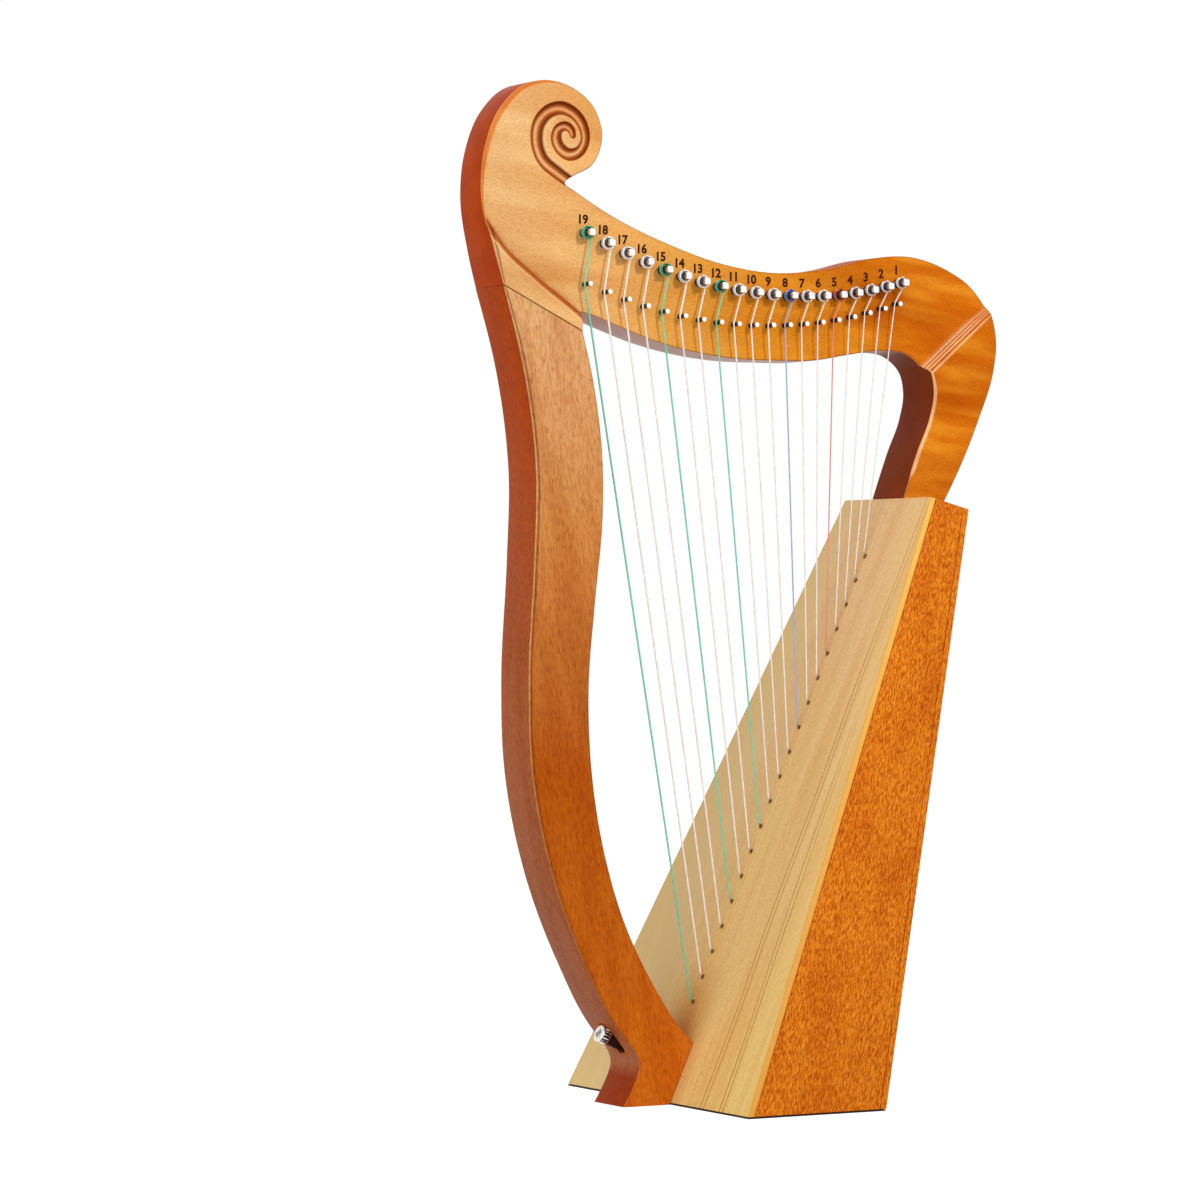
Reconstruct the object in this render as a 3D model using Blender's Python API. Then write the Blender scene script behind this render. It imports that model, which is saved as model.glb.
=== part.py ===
"""A nineteen-string lyre harp, built piece by piece as the real instrument is.

The view from the front has the pillar on the left (-X) and the soundbox on the
right (+X). +Z is up, and the strings lie on the near side (-Y) of the neck.
The origin is the middle of the base panel's underside, where the harp stands.
Outlines are drawn in the XZ plane and measured from three fixed points: the
soundboard's foot, the soundbox's front top corner and the scroll's centre.
"""

import math

import bmesh
import bpy
from mathutils import Vector

# Overall sizes, in metres
HARP_HEIGHT = 0.610
BOX_HEIGHT = 0.365
BOX_LEAN = 0.166
BASE_DEPTH = 0.095
BASE_WIDTH = 0.220
TOP_WIDTH = 0.099
TOP_DEPTH = 0.0277
FRAME_THICKNESS = 0.037

# The gap that glued and bolted faces keep, how far a cutter runs past the face it cuts,
# and the rounding of the frame's rims
GAP = 0.0003
OVERCUT = 0.002
FRAME_RIM = 0.0008
RIM_STEPS = 2

# Soundbox
BOARD_THICKNESS = 0.0035
WALL_THICKNESS = 0.005
BACK_THICKNESS = 0.004
BASE_THICKNESS = 0.006
BASE_PROUD = 0.001
TOP_BLOCK_HEIGHT = 0.018
FOOT_BLOCK_HEIGHT = 0.052
FOOT_BLOCK_THICKNESS = 0.020
FOOT_BLOCK_WIDTH = 0.070
RIB_WIDTH = 0.014
RIB_THICKNESS = 0.006
RIB_END_ROOM = 0.001
SOUND_HOLES = ((0.085, 0.064, 0.046), (0.180, 0.054, 0.038), (0.262, 0.042, 0.030))
HOLE_SIDES = 32

# Frame
HEAD_REACH = 0.0662
HEAD_DROP = 0.0325
NECK_RECESS = 0.009
STEP_RUN = 0.0016
RAMP_RUN = 0.003
PILLAR_SEAT = 0.0395

# Scroll groove: a spiral that opens into the notch under the volute and curls in to its centre,
# as (x, z, half width) from the scroll's centre, and its depth as a share of its half width
SCROLL_GROOVE = (
    (0.0035, -0.0275, 0.0036), (-0.0045, -0.0228, 0.0038), (-0.0155, -0.0143, 0.0039),
    (-0.0191, -0.0040, 0.0040), (-0.0174, 0.0067, 0.0041), (-0.0114, 0.0134, 0.0040),
    (-0.0025, 0.0161, 0.0039), (0.0059, 0.0132, 0.0036), (0.0117, 0.0067, 0.0033),
    (0.0132, -0.0027, 0.0030), (0.0094, -0.0090, 0.0032), (0.0025, -0.0110, 0.0037),
    (-0.0031, -0.0080, 0.0037), (-0.0060, -0.0015, 0.0036), (-0.0042, 0.0038, 0.0030),
    (0.0009, 0.0054, 0.0027), (0.0042, 0.0030, 0.0024), (0.0049, 0.0004, 0.0020))
GROOVE_DEPTH = 0.68
GROOVE_SIDES = 8

# Strings, from the longest (bass) to the shortest (treble)
STRINGS = 19
BASS_STRING = 0.00115
TREBLE_STRING = 0.00070
FIRST_HOLE = 0.0649
LAST_HOLE_MARGIN = 0.0393
EYELET_RADIUS = 0.0016
EYELET_HEIGHT = 0.0005
PIN_CROWDING = 0.11
WINDING_TURNS = 2.3
TURN_POINTS = 9
TURN_GAP = 0.0006
WINDING_STANDOFF = 0.0034
KNOT_LENGTH = 0.0032
KNOT_SWELL = 2.3

# Tuning pins and bridge pins
PIN_RADIUS = 0.0025
PIN_SIDES = 12
PIN_DEPTH = 0.020
PIN_SHANK = WINDING_STANDOFF + (BASS_STRING + TURN_GAP) * WINDING_TURNS + BASS_STRING / 2 + GAP
PIN_HEAD_HALF = 0.0020
PIN_HEAD_CORNER = 0.72
PIN_HEAD_LENGTH = 0.0030
BRIDGE_PIN_RADIUS = 0.0014
BRIDGE_PIN_LENGTH = 0.0087
BRIDGE_PIN_ROOT = 0.004
BRIDGE_STANDOFF = 0.0048

# Foot bolt, square to the soundboard, in a counterbore of the pillar's foot, with the sleeve
# that its head pulls on and its threaded insert
BOLT_HEIGHT = 0.0236
BOLT_RADIUS = 0.003
BOLT_PLAY = 0.0008
BOLT_HEAD_RADIUS = 0.005
BOLT_HEAD_LENGTH = 0.006
BOLT_SOCKET = 0.0028
BOLT_TIP = 0.004
COUNTERBORE_FLOOR = 0.0320
COUNTERBORE_REACH = 0.026
SLEEVE_RADIUS = 0.0046
SLEEVE_LENGTH = 0.0144
INSERT_RADIUS = 0.0045
INSERT_LENGTH = 0.012

# Dowels
DOWEL_RADIUS = 0.004
DOWEL_LENGTH = 0.034
DOWEL_SIDES = 16
PILLAR_DOWEL_SHARES = (0.45, 0.74)
SHOULDER_DOWEL_SPREAD = 0.0095
DOWEL_END_ROOM = 0.001

# Fixed points of the drawing, as (x, z)
FOOT = Vector((-BASE_DEPTH / 2, 0))
SEAT = FOOT + Vector((BOX_LEAN, BOX_HEIGHT))
HEAD = FOOT + Vector((-HEAD_REACH, HARP_HEIGHT - HEAD_DROP))
BOARD_LENGTH = (SEAT - FOOT).length
ALONG_BOARD = (SEAT - FOOT).normalized()
OFF_BOARD = Vector((-ALONG_BOARD.y, ALONG_BOARD.x))

# The back panel leans so that the square-cut top of the box is TOP_DEPTH deep
HEEL = FOOT + Vector((BASE_DEPTH, 0))
HEEL_TO_SEAT = SEAT - HEEL
BACK_LEAN = math.atan2(HEEL_TO_SEAT.x, HEEL_TO_SEAT.y) + math.asin(TOP_DEPTH / HEEL_TO_SEAT.length)
ALONG_BACK = Vector((math.sin(BACK_LEAN), math.cos(BACK_LEAN)))
OFF_BACK = Vector((ALONG_BACK.y, -ALONG_BACK.x))

FACE_NEAR = -FRAME_THICKNESS / 2
FACE_FAR = FRAME_THICKNESS / 2
NECK_FACE = FACE_NEAR + NECK_RECESS


def from_foot(x, z):
    return FOOT + Vector((x, z))


def from_seat(x, z):
    return SEAT + Vector((x, z))


def from_head(x, z):
    return HEAD + Vector((x, z))


def on_neck(share, rise):
    """A point on the neck: its share of the way from scroll to soundbox, and its rise above that line."""
    return HEAD.lerp(SEAT, share) + Vector((0, rise))


def on_board(up, out):
    """A point `up` the soundboard from its foot and `out` from its front face."""
    return FOOT + ALONG_BOARD * up + OFF_BOARD * out


def on_top(back, up):
    """A point on the soundbox's top, `back` from its front corner and `up` from its face."""
    return SEAT + OFF_BACK * back + ALONG_BACK * up


def on_back(up, out):
    """A point `up` the back panel from its heel and `out` from its outer face."""
    return HEEL + ALONG_BACK * up + OFF_BACK * out


def crossing(point, direction, other_point, other_direction):
    """Where two lines in the XZ plane meet."""
    cross = direction.x * other_direction.y - direction.y * other_direction.x
    offset = other_point - point
    return point + direction * ((offset.x * other_direction.y - offset.y * other_direction.x) / cross)


def half_width(z):
    """Half of the soundbox's outer width at a height."""
    return (BASE_WIDTH - (BASE_WIDTH - TOP_WIDTH) * z / BOX_HEIGHT) / 2


def smooth_run(knots, steps=4):
    """A smooth curve through the knots, with `steps` chords between each two."""
    points = [Vector(knot) for knot in knots]
    spans = [(after - before).length for before, after in zip(points, points[1:])]
    chords = [(after - before) / span for before, after, span in zip(points, points[1:], spans)]
    slopes = [None] * len(points)
    for i in range(1, len(points) - 1):
        slopes[i] = (chords[i - 1] * spans[i] + chords[i] * spans[i - 1]) / (spans[i - 1] + spans[i])
    slopes[0] = chords[0] * 1.5 - slopes[1] * 0.5
    slopes[-1] = chords[-1] * 1.5 - slopes[-2] * 0.5
    curve = []
    for i, span in enumerate(spans):
        for step in range(steps):
            t = step / steps
            curve.append(points[i] * (2 * t**3 - 3 * t**2 + 1)
                         + slopes[i] * span * (t**3 - 2 * t**2 + t)
                         + points[i + 1] * (3 * t**2 - 2 * t**3)
                         + slopes[i + 1] * span * (t**3 - t**2))
    curve.append(points[-1])
    return curve


def clear_radius(radius, sides):
    """The corner radius of a hole with flat sides that clears a round piece by the gap."""
    return (radius + GAP) / math.cos(math.pi / sides)


def clear_scene():
    for item in list(bpy.data.objects):
        bpy.data.objects.remove(item, do_unlink=True)


def make_material(name, color, roughness, metallic=0.0):
    material = bpy.data.materials.new(name)
    material.use_nodes = True
    shader = material.node_tree.nodes["Principled BSDF"]
    shader.inputs["Base Color"].default_value = (*color, 1)
    shader.inputs["Roughness"].default_value = roughness
    shader.inputs["Metallic"].default_value = metallic
    return material


def loft(rings, closed=False):
    """A closed body through rings of points, capped at both ends or joined end to start."""
    body = bmesh.new()
    loops = [[body.verts.new(point) for point in ring] for ring in rings]
    pairs = list(zip(loops, loops[1:]))
    if closed:
        pairs.append((loops[-1], loops[0]))
    else:
        body.faces.new(loops[0])
        body.faces.new(loops[-1])
    for first, second in pairs:
        for i in range(len(first)):
            j = (i + 1) % len(first)
            body.faces.new((first[i], first[j], second[j], second[i]))
    bmesh.ops.recalc_face_normals(body, faces=body.faces[:])
    return body


def prism(outline, near, far, rim=0.0):
    """An outline in the XZ plane made solid between two Y levels, with its rims rounded."""
    body = loft([[(p.x, y, p.y) for p in outline] for y in (near, far)])
    if rim:
        rims = [edge for edge in body.edges if abs(edge.verts[0].co.y - edge.verts[1].co.y) < rim]
        bmesh.ops.bevel(body, geom=rims, offset=rim, segments=RIM_STEPS, profile=0.5, affect="EDGES")
    return body


def turned(profile, sides):
    """A round body along its own Z axis, from (length, radius) pairs."""
    rings = []
    for length, radius in profile:
        angles = [2 * math.pi * (i + 0.5) / sides for i in range(sides)]
        rings.append([(radius * math.cos(a), radius * math.sin(a), length) for a in angles])
    return loft(rings)


def turned_ring(inner, outer, length, sides):
    """A plain ring along its own Z axis."""
    rings = []
    for i in range(sides):
        a = 2 * math.pi * (i + 0.5) / sides
        section = ((inner, 0), (outer, 0), (outer, length), (inner, length))
        rings.append([(radius * math.cos(a), radius * math.sin(a), z) for radius, z in section])
    return loft(rings, closed=True)


def add_mesh_object(name, mesh, material=None):
    item = bpy.data.objects.new(name, mesh)
    bpy.context.scene.collection.objects.link(item)
    if material and not mesh.materials:
        mesh.materials.append(material)
    return item


def add_body(name, body, material=None):
    """Turns a finished bmesh into an object whose round faces are shaded smooth."""
    mesh = bpy.data.meshes.new(name)
    body.to_mesh(mesh)
    body.free()
    mesh.shade_smooth()
    mesh.set_sharp_from_angle(angle=math.radians(35))
    return add_mesh_object(name, mesh, material)


def lay_along(item, start, direction):
    """Places an object's own Z axis along a direction of the XZ plane, from a point on Y = 0."""
    item.location = (start.x, 0, start.y)
    item.rotation_euler = (0, math.atan2(direction.x, direction.y), 0)
    return item


def joined(bodies):
    """One bmesh from several that don't touch, each with a placing function for its points."""
    whole = bmesh.new()
    for body, place in bodies:
        for vertex in body.verts:
            vertex.co = place(vertex.co)
        piece = bpy.data.meshes.new("piece")
        body.to_mesh(piece)
        body.free()
        whole.from_mesh(piece)
        bpy.data.meshes.remove(piece)
    bmesh.ops.recalc_face_normals(whole, faces=whole.faces[:])
    return whole


def combine(item, tool, operation):
    """Leaves a Boolean on the piece and hides its tool."""
    modifier = item.modifiers.new(tool.name, "BOOLEAN")
    modifier.object = tool
    modifier.operation = operation
    modifier.solver = "EXACT"
    tool.hide_render = True
    tool.display_type = "WIRE"


def into_neck(x, z, level):
    """Stands a turned body's points on end at a place of the neck, pointing out to the near side."""
    return lambda co: Vector((x + co.x, level - co.z, z + co.y))


def into_board(up, out):
    """Stands a turned body's points square to the soundboard, pointing out of it."""
    start = on_board(up, out)

    def place(co):
        flat = start + ALONG_BOARD * co.x + OFF_BOARD * co.z
        return Vector((flat.x, co.y, flat.y))

    return place


def string_share(number):
    """A string's share of the pin rows' length; the bass pins stand a little wider apart."""
    t = number / (STRINGS - 1)
    return t + PIN_CROWDING * t * (1 - t)


def row_point(knots, share):
    """The point of a row of pins at a share of its length along X."""
    row = smooth_run(knots, 12)
    x = row[0].x + (row[-1].x - row[0].x) * share
    for before, after in zip(row, row[1:]):
        if after.x >= x or after is row[-1]:
            return before.lerp(after, (x - before.x) / (after.x - before.x))


def tuning_pin_place(number):
    knots = (on_neck(0.053, -0.0462), on_neck(0.276, -0.0186), on_neck(0.448, 0.0089),
             on_neck(0.617, 0.0410), on_neck(0.807, 0.0826), from_seat(0.0009, 0.1326))
    return row_point(knots, string_share(number))


def bridge_pin_place(number):
    knots = (on_neck(0.054, -0.0764), on_neck(0.273, -0.0444), on_neck(0.449, -0.0127),
             on_neck(0.609, 0.0207), on_neck(0.801, 0.0660), from_seat(-0.0018, 0.1195))
    return row_point(knots, string_share(number))


def hole_height(number):
    """How far up the soundboard a string's hole is."""
    return FIRST_HOLE + (BOARD_LENGTH - FIRST_HOLE - LAST_HOLE_MARGIN) * number / (STRINGS - 1)


def string_radius(number):
    return (BASS_STRING + (TREBLE_STRING - BASS_STRING) * number / (STRINGS - 1)) / 2


def joint_line(offset):
    """The glue joint between pillar and neck, from its outer to its inner end, moved square to itself."""
    outer, inner = from_head(-0.0458, -0.0907), from_head(0.0070, -0.1165)
    along = (inner - outer).normalized()
    shift = Vector((-along.y, along.x)) * offset
    return outer + shift, inner + shift


def neck_outline():
    """Neck, scroll and shoulder are sawn from one board; this goes round them clockwise from the joint."""
    joint_outer, joint_inner = joint_line(GAP / 2)
    scroll = smooth_run((
        joint_outer, from_head(-0.0513, -0.0686), from_head(-0.0562, -0.0374), from_head(-0.0533, -0.0101),
        from_head(-0.0426, 0.0147), from_head(-0.0272, 0.0289), from_head(-0.0100, HEAD_DROP),
        from_head(0.0062, 0.0282), from_head(0.0189, 0.0185), from_head(0.0252, 0.0008),
        from_head(0.0185, -0.0165), from_head(0.0042, -0.0247), from_head(0.0009, -0.0275)))
    top = smooth_run((
        from_head(0.0012, -0.0295), on_neck(0.130, -0.0180), on_neck(0.307, 0.0033), on_neck(0.465, 0.0266),
        on_neck(0.626, 0.0566), on_neck(0.797, 0.0972), on_neck(0.933, 0.1335), from_seat(0.0110, 0.1493),
        from_seat(0.0373, 0.1421), from_seat(0.0543, 0.1316), from_seat(0.0645, 0.1159),
        from_seat(0.0685, 0.0995), from_seat(0.0662, 0.0781), from_seat(0.0559, 0.0502),
        from_seat(0.0423, 0.0206), on_top(TOP_DEPTH, GAP)))
    under = smooth_run((
        on_top(GAP, GAP), from_seat(0.0109, 0.0285), from_seat(0.0202, 0.0508), from_seat(0.0229, 0.0663),
        from_seat(0.0196, 0.0794), from_seat(0.0083, 0.0886), on_neck(0.951, 0.0803),
        on_neck(0.851, 0.0559), on_neck(0.741, 0.0283), on_neck(0.630, 0.0041), on_neck(0.510, -0.0211),
        on_neck(0.384, -0.0447), on_neck(0.253, -0.0660), on_neck(0.143, -0.0810), on_neck(0.061, -0.0923),
        from_head(0.0069, -0.1045)))
    return scroll + top + under + [joint_inner]


def recess_cutter():
    """Lowers the neck's near face between the step at the pillar and the ramp at the shoulder."""
    step = smooth_run((from_head(-0.0620, -0.0470), from_head(-0.0523, -0.0565), from_head(-0.0438, -0.0680),
                       from_head(-0.0253, -0.0832), from_head(0.0057, -0.1050)))
    step += [from_head(0.0085, -0.1075), from_head(0.0085, -0.1400)]
    ramp = [from_seat(0.0120, 0.0768), from_seat(0.0183, 0.0822), from_seat(0.0623, 0.1195),
            from_seat(0.0700, 0.1260)]
    under = [from_head(0.0260, -0.1600), from_seat(-0.0060, 0.0600)]
    above = [from_seat(0.0800, 0.2200), from_head(-0.0700, 0.0600)]
    away_from_step = Vector((-0.64, -0.77)) * STEP_RUN
    away_from_ramp = Vector((0.65, -0.76)) * RAMP_RUN
    rings = []
    for level, spread in ((NECK_FACE, 0.0), (2 * FACE_NEAR - NECK_FACE, 2.0)):
        edge = [p + away_from_step * (spread - 1) for p in step] + under
        edge += [p + away_from_ramp * spread for p in ramp] + above
        rings.append([(p.x, level, p.y) for p in edge])
    return add_body("recess_cutter", loft(rings))


def groove_cutter():
    """A gouge swept along the scroll's spiral, narrowing to its centre."""
    run = smooth_run(SCROLL_GROOVE, 3)
    flat = 1 / math.cos(math.pi / GROOVE_SIDES)
    rings = []
    for before, here, after in zip(run[:1] + run, run, run[1:] + run[-1:]):
        along = (after - before).to_2d().normalized()
        across = Vector((along.y, -along.x))
        ring = []
        for side in range(GROOVE_SIDES):
            a = 2 * math.pi * (side + 0.5) / GROOVE_SIDES
            p = HEAD + here.to_2d() + across * (here.z * flat * math.cos(a))
            ring.append((p.x, NECK_FACE + here.z * GROOVE_DEPTH * math.sin(a), p.y))
        rings.append(ring)
    return add_body("groove_cutter", loft(rings))


def pin_bore_cutter():
    bore = clear_radius(PIN_RADIUS, PIN_SIDES)
    bodies = []
    for number in range(STRINGS):
        place = tuning_pin_place(number)
        body = turned(((-PIN_DEPTH - GAP, bore), (OVERCUT, bore)), PIN_SIDES)
        bodies.append((body, into_neck(place.x, place.y, NECK_FACE)))
    return add_body("pin_bore_cutter", joined(bodies))


def bridge_pins():
    """The bridge pins are driven into the neck and are one body with it here."""
    tip = BRIDGE_PIN_RADIUS / 3
    profile = ((-BRIDGE_PIN_ROOT, BRIDGE_PIN_RADIUS), (BRIDGE_PIN_LENGTH - tip, BRIDGE_PIN_RADIUS),
               (BRIDGE_PIN_LENGTH, BRIDGE_PIN_RADIUS - tip))
    bodies = []
    for number in range(STRINGS):
        place = bridge_pin_place(number)
        bodies.append((turned(profile, 8), into_neck(place.x, place.y, NECK_FACE)))
    return add_body("bridge_pins", joined(bodies))


def dowel_pair(names, starts, direction, material):
    """Two dowels, each centred on its point of the joint."""
    chamfer = DOWEL_RADIUS / 5
    profile = ((0, DOWEL_RADIUS - chamfer), (chamfer, DOWEL_RADIUS),
               (DOWEL_LENGTH - chamfer, DOWEL_RADIUS), (DOWEL_LENGTH, DOWEL_RADIUS - chamfer))
    for name, (start, y) in zip(names, starts):
        dowel = add_body(name, turned(profile, DOWEL_SIDES), material)
        lay_along(dowel, start - direction * DOWEL_LENGTH / 2, direction)
        dowel.location.y = y


def dowel_hole_cutter(name, starts, direction):
    hole = clear_radius(DOWEL_RADIUS, DOWEL_SIDES)
    reach = DOWEL_LENGTH / 2 + DOWEL_END_ROOM
    turn = math.atan2(direction.x, direction.y)
    bodies = []
    for start, y in starts:
        def place(co, start=start, y=y):
            x = start.x + co.x * math.cos(turn) + co.z * math.sin(turn)
            z = start.y - co.x * math.sin(turn) + co.z * math.cos(turn)
            return Vector((x, y + co.y, z))
        bodies.append((turned(((-reach, hole), (reach, hole)), DOWEL_SIDES), place))
    return add_body(name, joined(bodies))


def pillar_dowel_starts():
    outer, inner = joint_line(0)
    return [(outer.lerp(inner, share), 0.0) for share in PILLAR_DOWEL_SHARES]


def shoulder_dowel_starts():
    middle = on_top(TOP_DEPTH / 2, GAP / 2)
    return [(middle, -SHOULDER_DOWEL_SPREAD), (middle, SHOULDER_DOWEL_SPREAD)]


def joint_direction():
    outer, inner = joint_line(0)
    along = (inner - outer).normalized()
    return Vector((-along.y, along.x))


def make_neck(wood):
    neck = add_body("neck", prism(neck_outline(), FACE_NEAR, FACE_FAR, FRAME_RIM), wood)
    combine(neck, recess_cutter(), "DIFFERENCE")
    combine(neck, bridge_pins(), "UNION")
    combine(neck, groove_cutter(), "DIFFERENCE")
    combine(neck, pin_bore_cutter(), "DIFFERENCE")
    combine(neck, bpy.data.objects["pillar_dowel_holes"], "DIFFERENCE")
    combine(neck, bpy.data.objects["shoulder_dowel_holes"], "DIFFERENCE")


def make_pillar(wood):
    """The pillar curves forward, and its toe stands on the floor in front of the soundbox."""
    joint_outer, joint_inner = joint_line(-GAP / 2)
    front = smooth_run((
        from_foot(-0.0316, 0), from_foot(-0.0258, 0.0097), from_foot(-0.0222, 0.0171),
        from_foot(-0.0204, 0.0238), from_foot(-0.0222, 0.0302), from_foot(-0.0285, 0.0383),
        from_foot(-0.0353, 0.0467), from_foot(-0.0568, 0.0847), from_foot(-0.0781, 0.1356),
        from_foot(-0.0927, 0.1999), from_foot(-0.0949, 0.2553), from_head(-0.0250, -0.2524),
        from_head(-0.0238, -0.1997), from_head(-0.0319, -0.1406), joint_outer))
    back = smooth_run((
        joint_inner, from_head(0.0138, -0.1443), from_head(0.0202, -0.1894), from_head(0.0204, -0.2282),
        from_foot(-0.0506, 0.3032), from_foot(-0.0552, 0.2486), from_foot(-0.0534, 0.2029),
        from_foot(-0.0448, 0.1527), from_foot(-0.0303, 0.1085), from_foot(-0.0092, 0.0690),
        from_foot(0.0085, 0.0440), on_board(PILLAR_SEAT, GAP)))
    heel = crossing(on_board(0, GAP), ALONG_BOARD, FOOT, Vector((1, 0)))
    outline = front + back + [heel]
    pillar = add_body("pillar", prism(outline, FACE_NEAR, FACE_FAR, FRAME_RIM), wood)
    hole = clear_radius(BOLT_RADIUS + BOLT_PLAY - GAP, DOWEL_SIDES)
    wide = clear_radius(BOLT_HEAD_RADIUS, DOWEL_SIDES)
    floor = COUNTERBORE_FLOOR
    clearance = turned(((-OVERCUT, hole), (floor + OVERCUT, hole)), DOWEL_SIDES)
    counterbore = turned(((floor, wide), (floor + COUNTERBORE_REACH, wide)), DOWEL_SIDES)
    for name, body in (("bolt_clearance", clearance), ("counterbore", counterbore)):
        cutter = lay_along(add_body(name, body), on_board(BOLT_HEIGHT, 0), OFF_BOARD)
        combine(pillar, cutter, "DIFFERENCE")
    combine(pillar, bpy.data.objects["pillar_dowel_holes"], "DIFFERENCE")


def box_part(name, section, inset, material):
    """A part that spans the soundbox: a section in XZ, `inset` from both outer side planes."""
    rings = []
    for side in (-1, 1):
        rings.append([(p.x, side * (half_width(p.y) - inset), p.y) for p in section])
    return add_body(name, loft(rings), material)


def board_line(out):
    return on_board(0, out), ALONG_BOARD


def back_line(out):
    return on_back(0, out), ALONG_BACK


def level_line(z):
    return Vector((0, z)), Vector((1, 0))


def top_line(up):
    return on_top(0, up), OFF_BACK


def make_soundboard(spruce):
    """The thin front board, with a small raised eyelet round each string hole."""
    corners = [crossing(*board_line(out), *other) for out, other in (
        (0, level_line(BASE_PROUD)), (0, top_line(0)),
        (-BOARD_THICKNESS, top_line(0)), (-BOARD_THICKNESS, level_line(BASE_PROUD)))]
    board = box_part("soundboard", corners, 0, spruce)
    collars, bores = [], []
    for number in range(STRINGS):
        place = into_board(hole_height(number), 0)
        bore = clear_radius(string_radius(number), 8)
        collars.append((turned(((-OVERCUT, EYELET_RADIUS), (EYELET_HEIGHT, EYELET_RADIUS)), 8), place))
        bores.append((turned(((-BOARD_THICKNESS - OVERCUT, bore), (OVERCUT, bore)), 8), place))
    combine(board, add_body("eyelets", joined(collars)), "UNION")
    combine(board, add_body("string_bores", joined(bores)), "DIFFERENCE")
    bore = clear_radius(BOLT_RADIUS, DOWEL_SIDES)
    bolt_hole = turned(((-BOARD_THICKNESS - OVERCUT, bore), (OVERCUT, bore)), DOWEL_SIDES)
    cutter = lay_along(add_body("board_bolt_hole", bolt_hole), on_board(BOLT_HEIGHT, 0), OFF_BOARD)
    combine(board, cutter, "DIFFERENCE")


def make_string_rib(hardwood):
    """The strip glued behind the string holes, which the knots pull against."""
    front = -BOARD_THICKNESS - GAP
    low = on_board(FOOT_BLOCK_HEIGHT + RIB_END_ROOM, front)
    high = crossing(*board_line(front), *top_line(-TOP_BLOCK_HEIGHT - GAP))
    section = [low, high, high - OFF_BOARD * RIB_THICKNESS, low - OFF_BOARD * RIB_THICKNESS]
    rib = add_body("string_rib", prism(section, -RIB_WIDTH / 2, RIB_WIDTH / 2), hardwood)
    bores = []
    for number in range(STRINGS):
        bore = clear_radius(string_radius(number), 8)
        body = turned(((-BOARD_THICKNESS - RIB_THICKNESS - OVERCUT, bore), (0, bore)), 8)
        bores.append((body, into_board(hole_height(number), 0)))
    combine(rib, add_body("rib_bores", joined(bores)), "DIFFERENCE")


def make_side_walls(wood):
    """Two flat walls, lying between the soundboard and the back panel, that lean in towards the top."""
    front, back = board_line(-BOARD_THICKNESS - GAP), back_line(-BACK_THICKNESS - GAP)
    floor, top = level_line(BASE_PROUD), top_line(0)
    section = [crossing(*front, *floor), crossing(*front, *top),
               crossing(*back, *top), crossing(*back, *floor)]
    for name, side in (("side_wall_near", -1), ("side_wall_far", 1)):
        rings = []
        for inset in (0, WALL_THICKNESS):
            rings.append([(p.x, side * (half_width(p.y) - inset), p.y) for p in section])
        add_body(name, loft(rings), wood)


def make_back_panel(wood):
    """The back panel, with three oval sound holes down its middle."""
    floor, top = level_line(BASE_PROUD), top_line(0)
    outer, inner = back_line(0), back_line(-BACK_THICKNESS)
    section = [crossing(*outer, *floor), crossing(*outer, *top),
               crossing(*inner, *top), crossing(*inner, *floor)]
    panel = box_part("back_panel", section, 0, wood)
    holes = []
    for up, width, height in SOUND_HOLES:
        def place(co, up=up, width=width, height=height):
            flat = on_back(up + co.x * height / 2, co.z)
            return Vector((flat.x, co.y * width / 2, flat.y))
        holes.append((turned(((-BACK_THICKNESS - OVERCUT, 1.0), (OVERCUT, 1.0)), HOLE_SIDES), place))
    combine(panel, add_body("sound_holes", joined(holes)), "DIFFERENCE")


def make_base_panel(wood):
    """The base panel lies between the walls and stands a little proud of them, on the floor."""
    front, back = board_line(-BOARD_THICKNESS - GAP), back_line(-BACK_THICKNESS - GAP)
    floor, upper = level_line(0), level_line(BASE_THICKNESS)
    section = [crossing(*front, *floor), crossing(*front, *upper),
               crossing(*back, *upper), crossing(*back, *floor)]
    box_part("base_panel", section, WALL_THICKNESS + GAP, wood)


def make_top_block(hardwood):
    """The block that closes the box's top and carries the shoulder on two dowels."""
    front, back = board_line(-BOARD_THICKNESS - GAP), back_line(-BACK_THICKNESS - GAP)
    upper, lower = top_line(0), top_line(-TOP_BLOCK_HEIGHT)
    section = [crossing(*front, *upper), crossing(*back, *upper),
               crossing(*back, *lower), crossing(*front, *lower)]
    block = box_part("top_block", section, WALL_THICKNESS + GAP, hardwood)
    combine(block, bpy.data.objects["shoulder_dowel_holes"], "DIFFERENCE")


def make_foot_block(hardwood):
    """The block behind the soundboard's foot that holds the bolt's threaded insert."""
    front = -BOARD_THICKNESS - GAP
    floor = level_line(BASE_THICKNESS + GAP)
    low = crossing(*board_line(front), *floor)
    low_back = crossing(*board_line(front - FOOT_BLOCK_THICKNESS), *floor)
    high = on_board(FOOT_BLOCK_HEIGHT, front)
    section = [low, high, high - OFF_BOARD * FOOT_BLOCK_THICKNESS, low_back]
    half = FOOT_BLOCK_WIDTH / 2
    block = add_body("foot_block", prism(section, -half, half), hardwood)
    insert_hole = clear_radius(INSERT_RADIUS, DOWEL_SIDES)
    bolt_hole = clear_radius(BOLT_RADIUS, DOWEL_SIDES)
    mouth = front + OVERCUT
    insert_end = front - INSERT_LENGTH - GAP
    hole = turned(((insert_end - BOLT_TIP - OVERCUT, bolt_hole), (insert_end, bolt_hole),
                   (insert_end, insert_hole), (mouth, insert_hole)), DOWEL_SIDES)
    cutter = lay_along(add_body("insert_hole", hole), on_board(BOLT_HEIGHT, 0), OFF_BOARD)
    combine(block, cutter, "DIFFERENCE")


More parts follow.
